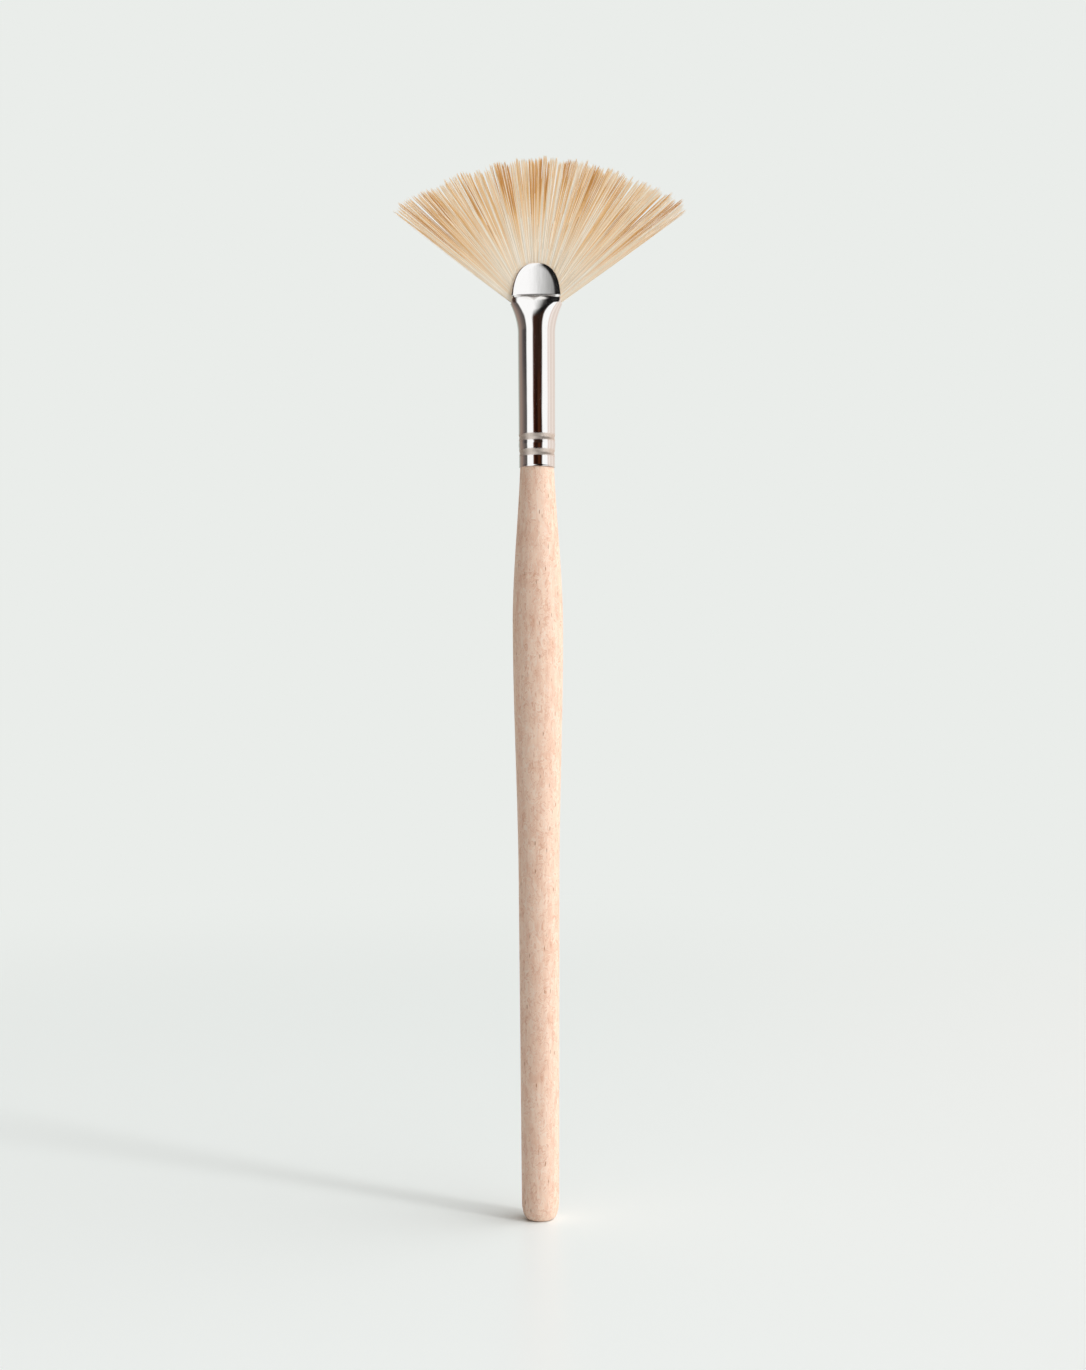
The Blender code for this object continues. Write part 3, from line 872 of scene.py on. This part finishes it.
def face_depth(x, height):
    """How far the face lies from the middle plane: leaning back, and rolled at the dome's edge."""
    edge = min(math.hypot(x - dome_x, height - dome_z) for _, dome_x, dome_z in dome)
    reach = FACE_ROLL_REACH * (1 - min(edge / FACE_ROLL, 1.0))
    roll = (1 - math.sqrt(1 - reach * reach)) / (1 - math.sqrt(1 - FACE_ROLL_REACH**2))
    above = max(height - crease_height, 0.0)
    flat = FACE_FOOT_DEPTH - FACE_SIDE_CURVE * x * x - FACE_LEAN * above
    return flat - FACE_ROLL_DROP * roll


print("a tongue has", TONGUE_ROWS, "rows")

# %% Press the two tongues
spots = {}
for column in range(TONGUE_COLUMNS + 1):
    u = column / TONGUE_COLUMNS
    crease = crease_share(u)
    for row in range(TONGUE_ROWS + 1):
        v, step = row_rise(crease, row)
        x, height = tongue_spot(u, v)
        depth = funnel_depth(x, height) * (1 - step) + face_depth(x, height) * step
        spots[column, row] = (x, depth, height)


def tongue_place(side):
    """A rule that places a tongue's vertices on the front, at -1, or on the back, at 1."""
    return lambda column, row: Vector(spots[column, row]) * Vector((1, side, 1))


tongues = [
    new_grid("front_tongue", TONGUE_COLUMNS, TONGUE_ROWS, tongue_place(-1)),
    new_grid("back_tongue", TONGUE_COLUMNS, TONGUE_ROWS, tongue_place(1)),
]
print("tongues:", sum(len(tongue.data.vertices) for tongue in tongues), "vertices")

# %% Join the skin and give it its wall
EDGE_ROUNDING = 0.07

bpy.ops.object.select_all(action="DESELECT")
for piece in tongues + [ferrule]:
    piece.select_set(True)
bpy.context.view_layer.objects.active = ferrule
bpy.ops.object.join()
bpy.ops.object.mode_set(mode="EDIT")
bpy.ops.mesh.select_all(action="SELECT")
bpy.ops.mesh.remove_doubles(threshold=0.004 * MM)
bpy.ops.mesh.normals_make_consistent(inside=False)
bpy.ops.object.mode_set(mode="OBJECT")
wall = ferrule.modifiers.new("wall", "SOLIDIFY")
wall.thickness = FERRULE_WALL * MM
wall.offset = -1
wall.use_even_offset = True
edge = ferrule.modifiers.new("edge", "BEVEL")
edge.width = EDGE_ROUNDING * MM
edge.segments = 2
edge.limit_method = "ANGLE"
edge.angle_limit = math.radians(50)
edge.loop_slide = False
for modifier in ("wall", "edge"):
    bpy.ops.object.modifier_apply(modifier=modifier)
bpy.ops.object.shade_smooth_by_angle(angle=math.radians(60))
print("ferrule:", len(ferrule.data.polygons), "faces")

# %% [markdown]
# ## Polished aluminium
# The tube is drawn and then polished, so it is a mirror, but never a perfect one. Drawing leaves
# faint lines along it, too shallow to see as shapes, which make the edges of the reflected stripes
# waver: they are bump. Handling leaves smears, which blur the mirror here and there: they are
# roughness. Metals have no diffuse colour, and aluminium's own tone is a nearly neutral light grey.

# %% Polished aluminium sheet
# To the eye it is bright and mirror-like, with stripes that waver a little along the tube.
DRAWN_LINE_WIDTH = 1.3
DRAWN_LINE_LENGTH = 9
SMEAR_WIDTH = 0.7
SMEAR_LENGTH = 3.5
SMEAR_START = 0.35
SMEAR_FULL = 0.75
CLEAN_ROUGHNESS = 0.045
SMEARED_ROUGHNESS = 0.13

aluminium, tree, shader = new_material("polished_aluminium_sheet")
place = add_node(tree, "TexCoord").outputs["Object"]
line_place = add_node(
    tree, "Mapping", {"Vector": place, "Scale": pattern_scale(DRAWN_LINE_WIDTH, DRAWN_LINE_LENGTH)}
)
drawn = add_node(
    tree, "TexNoise", {"Vector": line_place, "Scale": 1.0, "Detail": 2.0, "Roughness": 0.45}
)
drawn_bump = add_node(tree, "Bump", {"Strength": 0.36, "Distance": 0.05 * MM, "Height": drawn})
set_inputs(shader, {"Normal": drawn_bump})
smear_place = add_node(
    tree,
    "Mapping",
    {"Vector": place, "Location": (4, 4, 4), "Scale": pattern_scale(SMEAR_WIDTH, SMEAR_LENGTH)},
)
smears = add_node(tree, "TexNoise", {"Vector": smear_place, "Scale": 1.0, "Detail": 3.0})
smear_roughness = add_node(
    tree,
    "MapRange",
    {0: smears, 1: SMEAR_START, 2: SMEAR_FULL, 3: CLEAN_ROUGHNESS, 4: SMEARED_ROUGHNESS},
)
print("the metal's roughness is", CLEAN_ROUGHNESS, "to", SMEARED_ROUGHNESS)

# %% Scuffed crimps
# The crimping wheels scuff their tracks, so the grooves look soft beside the mirror.
SCUFF_ROUGHNESS = 0.5
SCUFF_HALF_HEIGHT = 0.45
SCUFF_FADE_END = 0.7

place_parts = add_node(tree, "SeparateXYZ", {0: place})
bead_middle = (lower_crimp + upper_crimp) / 2 * MM
crimp_offset = (upper_crimp - lower_crimp) / 2 * MM


def away_from(value, spot):
    """How far a socket's value is from a spot, in metres."""
    below = add_node(tree, "Math", {0: value, 1: spot}, operation="SUBTRACT")
    return add_node(tree, "Math", {0: below}, operation="ABSOLUTE")


from_crimp = away_from(away_from(place_parts.outputs["Z"], bead_middle), crimp_offset)
scuffed = add_node(
    tree,
    "MapRange",
    {0: from_crimp, 1: SCUFF_HALF_HEIGHT * MM, 2: SCUFF_FADE_END * MM, 3: SCUFF_ROUGHNESS, 4: 0.0},
)
roughness = add_node(tree, "Math", {0: smear_roughness, 1: scuffed}, operation="MAXIMUM")
set_inputs(shader, {"Roughness": roughness})
print("the crimps' roughness is", SCUFF_ROUGHNESS)

# %% Painted shade in the crease
# Painted shade darkens the corner under each face, most of it in the middle.
PAINTED_SHADE_ASIDE = -0.3
PAINTED_SHADE_HALF_WIDTH = 1.1
PAINTED_SHADE_MIDDLE_REACH = 1.1
PAINTED_SHADE_SIDE_REACH = 0.22
PAINTED_SHADE_FULL_SHARE = 0.4
PAINTED_SHADE_STRENGTH = 0.6
LIP_CLEARANCE = 0.02
PAINTED_SHADE_FADE_START = 2.4
PAINTED_SHADE_FADE_END = 3.3

from_middle = away_from(place_parts.outputs["X"], PAINTED_SHADE_ASIDE * MM)
reach = add_node(
    tree,
    "MapRange",
    {
        0: from_middle,
        1: 0.0,
        2: PAINTED_SHADE_HALF_WIDTH * MM,
        3: PAINTED_SHADE_MIDDLE_REACH * MM,
        4: PAINTED_SHADE_SIDE_REACH * MM,
    },
)
under_face = add_node(
    tree, "Math", {0: crease_height * MM, 1: place_parts.outputs["Z"]}, operation="SUBTRACT"
)
depth_share = add_node(tree, "Math", {0: under_face, 1: reach}, operation="DIVIDE")
corner = add_node(
    tree, "MapRange", {0: depth_share, 1: 1.0, 2: PAINTED_SHADE_FULL_SHARE, 3: 0.0, 4: PAINTED_SHADE_STRENGTH}
)
in_corner = add_node(tree, "Math", {0: under_face, 1: LIP_CLEARANCE * MM}, operation="GREATER_THAN")
inside_mouth = add_node(
    tree,
    "MapRange",
    {0: from_middle, 1: PAINTED_SHADE_FADE_START * MM, 2: PAINTED_SHADE_FADE_END * MM, 3: 1.0, 4: 0.0},
)
painted_shade = corner
for limit in (in_corner, inside_mouth):
    painted_shade = add_node(tree, "Math", {0: painted_shade, 1: limit}, operation="MULTIPLY")
print("the residue reaches", PAINTED_SHADE_MIDDLE_REACH, "mm down from the crease")

# %% The metal's colour
# The crimps' tracks are tinted warmer and darker.
metal = colour("#F5F4F3")
# The first tone is painted shade in the corner under each face.
for amount, tone in ((painted_shade, "#6A5A50"), (scuffed, "#D6BDA4")):
    metal = add_node(tree, "MixRGB", {0: amount, 1: metal, 2: colour(tone)}, blend_type="MULTIPLY")
set_inputs(shader, {"Base Color": metal, "Metallic": 1.0})
ferrule.data.materials.append(aluminium)
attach(ferrule, "root")
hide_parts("ferrule")
print("the ferrule is", aluminium.name)

# %% [markdown]
# ## What the ferrule hides
# The glue round the tenon, the resin that holds the roots and the thread that ties them are all
# inside the tube. Their measured shapes are right, so they stay and only get their finish.

# %% Glue, resin and thread
def give_material(node, material):
    """Puts the material on a measured piece, whose mesh is left as it is."""
    for material_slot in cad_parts[node].material_slots:
        material_slot.material = material


def speckled(name, light, dark, size, roughness, bump_height):
    """A material mottled between two colours, with features of this size in mm."""
    made, tree, shader = new_material(name)
    place = add_node(tree, "TexCoord").outputs["Object"]
    speck_place = add_node(tree, "Mapping", {"Vector": place, "Scale": pattern_scale(size, size)})
    noise = add_node(tree, "TexNoise", {"Vector": speck_place, "Scale": 1.0})
    tones = set_ramp(add_node(tree, "ValToRGB", {0: noise}), (0.35, dark), (0.65, light))
    bump = add_node(tree, "Bump", {"Distance": bump_height * MM, "Strength": 0.5, "Height": noise})
    set_inputs(shader, {"Base Color": tones, "Normal": bump, "Roughness": roughness})
    return made


# Cured glue is a clear honey colour and wet to the eye.
give_material("tenon_adhesive", speckled("cured_glue", "#D8B878", "#B8924F", 1.2, 0.25, 0.02))
# Resin soaks into the roots, so it looks dark and streaked.
give_material("root_plug", speckled("poured_root_resin", "#8A6236", "#5A3B1C", 0.6, 0.3, 0.02))
# Waxed cotton looks matt and a little fuzzy from its spun fibres.
give_material("binding_thread", speckled("waxed_cotton_thread", "#DCD2BD", "#B9AD96", 0.12, 0.85, 0.03))
print("hidden pieces have their finish")

# %% [markdown]
# ## The hair
# The fan holds a few thousand natural hairs. Each is drawn 0.15 mm thick, a little thicker than a
# real one, so that fewer of them fill the fan. They are set flat in the mouth, lie in fifteen locks
# and gather in pointed wisps at their tips. One hair is modelled once, as a three-sided tube that
# closes to a point. The fan needs far too many for operators, so each copy is placed by formula:
# its points are carried along the path of its own hair, and the hairs of a lock become one mesh.

# %% Model one hair
# The segments of a hair end at these shares of its length. The first segment is its foot, which
# stands in the glue and ends at the root.
HAIR_STEPS = (0.0, 0.22, 0.45, 0.66, 0.84, 0.95, 1.0)
HAIR_SEGMENTS = len(HAIR_STEPS)

bpy.ops.object.select_all(action="DESELECT")
bpy.ops.mesh.primitive_circle_add(vertices=3, radius=1)
one_hair = bpy.context.active_object
bpy.ops.object.mode_set(mode="EDIT")
bpy.ops.mesh.select_all(action="SELECT")
for segment in range(HAIR_SEGMENTS):
    bpy.ops.mesh.extrude_region_move(TRANSFORM_OT_translate={"value": (0, 0, 1)})
bpy.ops.mesh.merge(type="CENTER")
bpy.ops.mesh.select_all(action="SELECT")
bpy.ops.mesh.normals_make_consistent(inside=False)
bpy.ops.object.mode_set(mode="OBJECT")
hair_points = [vert.co.copy() for vert in one_hair.data.vertices]
hair_faces = [list(face.vertices) for face in one_hair.data.polygons]
bpy.data.objects.remove(one_hair)
print("one hair:", len(hair_points), "points,", len(hair_faces), "faces")

# %% [markdown]
# ## How the fan lies
# A hair's place is given by its share of the mouth, from -1 at the left corner to 1 at the right.
# It leaves the dome's edge at its share and leans by it, out to a circle that the fan's top
# follows. The fan is not even: it parts where locks meet, some locks are shorter, and brown
# patches lie between the middle and the tips. Those places are listed, and everything
# finer is drawn with seeded dice, so that it comes out the same each time.

# %% The fan's sizes and places
LOCKS = 15
HAIRS_IN_LOCK = 170
WISPS_IN_LOCK = 8
HAIR_RADIUS = 0.075
FAN_LEFT_ANGLE = math.radians(52.3)
FAN_RIGHT_ANGLE = math.radians(54.6)
FAN_TOP_RADIUS = 41.8
HAIR_LENGTH = 18.22
FAN_TOP_OFFSET = 0.75
ROOT_INSET = 0.35
ROOT_GAP = 0.1
MOST_ROOT_DEPTH = 0.75
FOOT_HALF_WIDTH = 2.1
FOOT_DEPTH = 0.42
FOOT_HEIGHT = 153.2
MIDDLE_DEPTH = 1.1
TIP_DEPTH = 0.7
WIDENED_BY = 0.62
THINNING_FROM = 0.5

# Where the tips part, as (share, how far they move to each side)
PARTINGS = (
    (-0.87, 0.010),
    (-0.70, 0.008),
    (-0.56, 0.005),
    (-0.385, 0.008),
    (-0.305, 0.008),
    (-0.19, 0.005),
    (-0.115, 0.006),
    (0.01, 0.004),
    (0.135, 0.006),
    (0.29, 0.005),
    (0.40, 0.004),
    (0.515, 0.007),
    (0.668, 0.009),
    (0.845, 0.005),
)
PARTING_REACH = 0.022

# How much shorter each lock is than the circle, from left to right
LOCK_SHORTENING = (
    0.0, 0.015, 0.02, 0.01, 0.045, 0.015, 0.0, 0.0, 0.01, 0.0, 0.03, 0.015, 0.02, 0.0, 0.0,
)

# Brown patches, as (share, place along the hair, half width in share, half length, strength)
PATCHES = (
    (-0.93, 0.72, 0.05, 0.22, 0.8),
    (-0.78, 0.86, 0.05, 0.14, 0.9),
    (-0.70, 0.66, 0.04, 0.20, 0.6),
    (-0.56, 0.72, 0.03, 0.20, 1.0),
    (-0.50, 0.88, 0.03, 0.10, 0.5),
    (-0.27, 0.84, 0.05, 0.18, 0.9),
    (-0.20, 0.80, 0.04, 0.22, 1.0),
    (-0.07, 0.72, 0.05, 0.22, 0.9),
    (0.02, 0.86, 0.04, 0.18, 0.8),
    (0.09, 0.76, 0.04, 0.20, 0.8),
    (0.20, 0.93, 0.05, 0.10, 0.7),
    (0.40, 0.82, 0.05, 0.22, 1.0),
    (0.57, 0.86, 0.05, 0.14, 0.7),
    (0.74, 0.62, 0.04, 0.16, 0.6),
    (0.88, 0.74, 0.05, 0.22, 0.9),
    (0.94, 0.92, 0.04, 0.10, 0.5),
)

fan_centre = Vector((FAN_TOP_OFFSET, dome_tip + HAIR_LENGTH - FAN_TOP_RADIUS))
print("the fan's centre is", [round(value, 2) for value in fan_centre])

# %% One hair's path
def parted(share):
    """The share that a tip ends at, pushed away from the partings beside it."""
    moved = share
    for place, push in PARTINGS:
        side = 1 if share > place else -1
        moved += side * push * math.exp(-abs(share - place) / PARTING_REACH)
    return moved


def hair_way(root, tip_share):
    """The direction of a hair and its full length to the fan's circle."""
    angle = ((1 + tip_share) * FAN_RIGHT_ANGLE - (1 - tip_share) * FAN_LEFT_ANGLE) / 2
    way = Vector((math.sin(angle), math.cos(angle)))
    away = root - fan_centre
    along = away.dot(way)
    return way, math.sqrt(along * along - away.length_squared + FAN_TOP_RADIUS**2) - along


def brownness(share, along):
    """How brown the fan is at a share of the mouth and a place along the hair."""
    brown = 0.0
    for place, middle, half_width, half_length, strength in PATCHES:
        across = (share - place) / half_width
        up = (along - middle) / half_length
        brown += strength * math.exp(-across * across - up * up)
    return brown


def hair_path(share, tip_share, depth, shortening, bow):
    """The hair's centre line: (x, y, z, place along it) for its foot, its root and on."""
    x, z = dome_point(share)
    root = Vector((x, z)) - Vector((x, z - dome_base)).normalized() * ROOT_INSET
    way, length = hair_way(root, tip_share)
    side = Vector((way.y, -way.x))
    root_depth = min(face_depth(x, z) - FERRULE_WALL - ROOT_GAP, MOST_ROOT_DEPTH)
    path = [(share * FOOT_HALF_WIDTH, depth * FOOT_DEPTH, FOOT_HEIGHT, 0.0)]
    for along in HAIR_STEPS:
        spot = root + way * (length * (1 - shortening) * along)
        spot += side * bow * math.sin(math.pi * along)
        away = root_depth + (MIDDLE_DEPTH - root_depth) * ease(along / WIDENED_BY)
        away -= (MIDDLE_DEPTH - TIP_DEPTH) * ease((along - THINNING_FROM) / (1 - THINNING_FROM))
        path.append((spot.x, depth * away, spot.y, along))
    return path


print("the middle hair is", round(hair_way(dome_point(0), 0.0)[1], 2), "mm long")

# %% [markdown]
# ## Goat hair
# Goat hair is pale cream at the root and picks up a golden tan towards the tip. Each hair is a
# little different, and some stay cream all along. That is no pattern in space, so each hair
# carries its own tones in its mesh: one attribute says how tan it is at each point, and the
# material turns that into colour. Hair has a soft shine along its length and no sharp highlight.

# %% Natural goat hair
# Pale and warm to the eye, with tan and brown streaks between cream strands.
goat_hair, tree, shader = new_material("natural_goat_hair")
tan = add_node(tree, "Attribute", attribute_name="tan")
hair_tones = set_ramp(
    add_node(tree, "ValToRGB", {0: tan.outputs["Fac"]}),
    (0.0, "#FFF5E6"),
    (0.25, "#FFE8CA"),
    (0.5, "#FFD8AA"),
    (0.75, "#F5C07E"),
    (1.0, "#D8964E"),
)
set_inputs(shader, {"Base Color": hair_tones, "Roughness": 0.4, "Specular IOR Level": 0.5})
set_inputs(shader, {"Sheen Weight": 0.5, "Sheen Roughness": 0.5, "Sheen Tint": colour("#FFDDBB")})
print("hair is", goat_hair.name)

# %% Draw the hairs of a lock
# The pairs are ranges for the dice. Hairs gather at the middle of their wisp, some are broken off
# short, and some lie loose on the front or the back of the fan.
HAIR_SEED = 100
STRAY_HAIRS = 3
SHORT_SHARE = 0.12
LOOSE_SHARE = 0.08
CREAM_SHARE = 0.3
MOUTH_SHARE = 0.99
INNER_SHARE = 0.8
WISP_RAGGEDNESS = 0.04
WISP_PLACE = (0.2, 0.8)
WISP_SHORTENING = (-0.01, 0.04)
WISP_TAN = (-0.45, 0.4)
GATHERING = (0.1, 0.7)
BROKEN_OFF = (0.03, 0.3)
STRAYING = (-0.06, 0.06)
LOOSE_DEPTH = (-1.15, 1.15)
BOW = (-0.15, 0.15)
GIRTH = (0.75, 1.2)
CREAM_TAN = (0.0, 0.3)
OWN_TAN = (0.7, 1.2)


def draw_hairs(number, dice):
    """Each hair of a lock, as (path, radius, the share that its tip is drawn to, how tan it is)."""
    first, pitch = 2 * number / LOCKS - 1, 2 / LOCKS
    wisps = []
    for wisp in range(WISPS_IN_LOCK):
        centre = first + pitch * (wisp + dice.uniform(*WISP_PLACE)) / WISPS_IN_LOCK
        wisps.append((centre, dice.uniform(*WISP_SHORTENING), dice.uniform(*WISP_TAN)))
    for hair in range(HAIRS_IN_LOCK):
        share = first + pitch * (hair + dice.random()) / HAIRS_IN_LOCK
        centre, wisp_shortening, wisp_tan = min(wisps, key=lambda wisp: abs(wisp[0] - share))
        tip_share = share + (centre - share) * dice.uniform(*GATHERING)
        away = abs(share - centre) / pitch * WISPS_IN_LOCK
        shortening = LOCK_SHORTENING[number] + wisp_shortening
        shortening += WISP_RAGGEDNESS * away * dice.random()
        if dice.random() < SHORT_SHARE:
            shortening += dice.uniform(*BROKEN_OFF)
        if hair < STRAY_HAIRS:
            tip_share += dice.uniform(*STRAYING)
        depth = math.copysign(1 - INNER_SHARE * dice.random() ** 2, dice.random() - 0.5)
        if dice.random() < LOOSE_SHARE:
            depth = dice.uniform(*LOOSE_DEPTH)
        path = hair_path(share * MOUTH_SHARE, parted(tip_share), depth, shortening, dice.uniform(*BOW))
        radius = HAIR_RADIUS * dice.uniform(*GIRTH)
        cream = dice.random() < CREAM_SHARE
        own_tan = dice.uniform(*CREAM_TAN) if cream else dice.uniform(*OWN_TAN) + wisp_tan
        yield path, radius, tip_share, own_tan


print("each lock has", WISPS_IN_LOCK, "wisps and", STRAY_HAIRS, "stray hairs")

# %% How tan a hair is
ROOT_TAN = 0.2
TAN_GAIN = 0.4
TAN_START = 0.05
TAN_RISE = 0.6
TIP_FADING = 0.12
TIP_START = 0.88
PATCH_TAN = 0.6


def tan_at(share, along, own_tan):
    """How tan a hair is at a place along it: more towards the tip and in the brown patches."""
    tan = ROOT_TAN + TAN_GAIN * ease((along - TAN_START) / TAN_RISE)
    tan -= TIP_FADING * ease((along - TIP_START) / (1 - TIP_START))
    return own_tan * (tan + PATCH_TAN * brownness(share, along))


print("a plain hair's tip is", round(tan_at(1.0, 1.0, 1.0), 2), "tan")

# %% How a hair takes the light
# A hair is lit all round by the hairs beside it, so the shading of each of its sides leans to the
# front or the back of the fan.
SHEET_FACING = 1.2

hair_facings = []
for face in hair_faces:
    lean = math.copysign(SHEET_FACING, sum(hair_points[index].y for index in face))
    for index in face:
        facing = Vector((hair_points[index].x, hair_points[index].y + lean, 0))
        hair_facings.append(facing.normalized())
print("one hair has", len(hair_facings), "shading directions")

# %% Copy the hair into the locks
# Each hair has its own strip of the map that its colour is baked to, foot at the bottom.
STRIP_PLACES = (0.1, 0.5, 0.9)
STRIP_MIDDLE = 0.5
TIP_THINNING = 0.4


def lock_mesh(number):
    """The mesh of one lock, with its tan attribute and its map."""
    dice = random.Random(HAIR_SEED + number)
    points, faces, tans, places = [], [], [], []
    for hair, (path, radius, share, own_tan) in enumerate(draw_hairs(number, dice)):
        start = len(points)
        for corner, point in enumerate(hair_points):
            x, y, z, along = path[round(point.z)]
            girth = radius * (1 - TIP_THINNING * along * along)
            points.append(((x + point.x * girth) * MM, (y + point.y * girth) * MM, z * MM))
            tans.append(tan_at(share, along, own_tan))
            strip = STRIP_PLACES[corner % 3] if point.z < HAIR_SEGMENTS else STRIP_MIDDLE
            places.append(((hair + strip) / HAIRS_IN_LOCK, point.z / HAIR_SEGMENTS))
        faces += [[start + index for index in face] for face in hair_faces]
    mesh = bpy.data.meshes.new(f"hair_{number + 1:02d}")
    mesh.from_pydata(points, [], faces)
    mesh.attributes.new("tan", "FLOAT", "POINT").data.foreach_set("value", tans)
    strips = mesh.uv_layers.new(name="OFBake")
    for loop, corner in zip(mesh.loops, strips.data):
        corner.uv = places[loop.vertex_index]
    mesh.shade_smooth()
    mesh.normals_split_custom_set(hair_facings * HAIRS_IN_LOCK)
    return mesh


for number in range(LOCKS):
    mesh = lock_mesh(number)
    lock = bpy.data.objects.new(mesh.name, mesh)
    bpy.context.scene.collection.objects.link(lock)
    mesh.materials.append(goat_hair)
    # Light passes through pale hair, so a hair keeps hardly any light from the ones behind it.
    lock.visible_shadow = False
    lock.visible_diffuse = False
    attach(lock, "root")
    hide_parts(f"hair_lock_{number + 1:02d}")
print("hairs:", LOCKS * HAIRS_IN_LOCK)
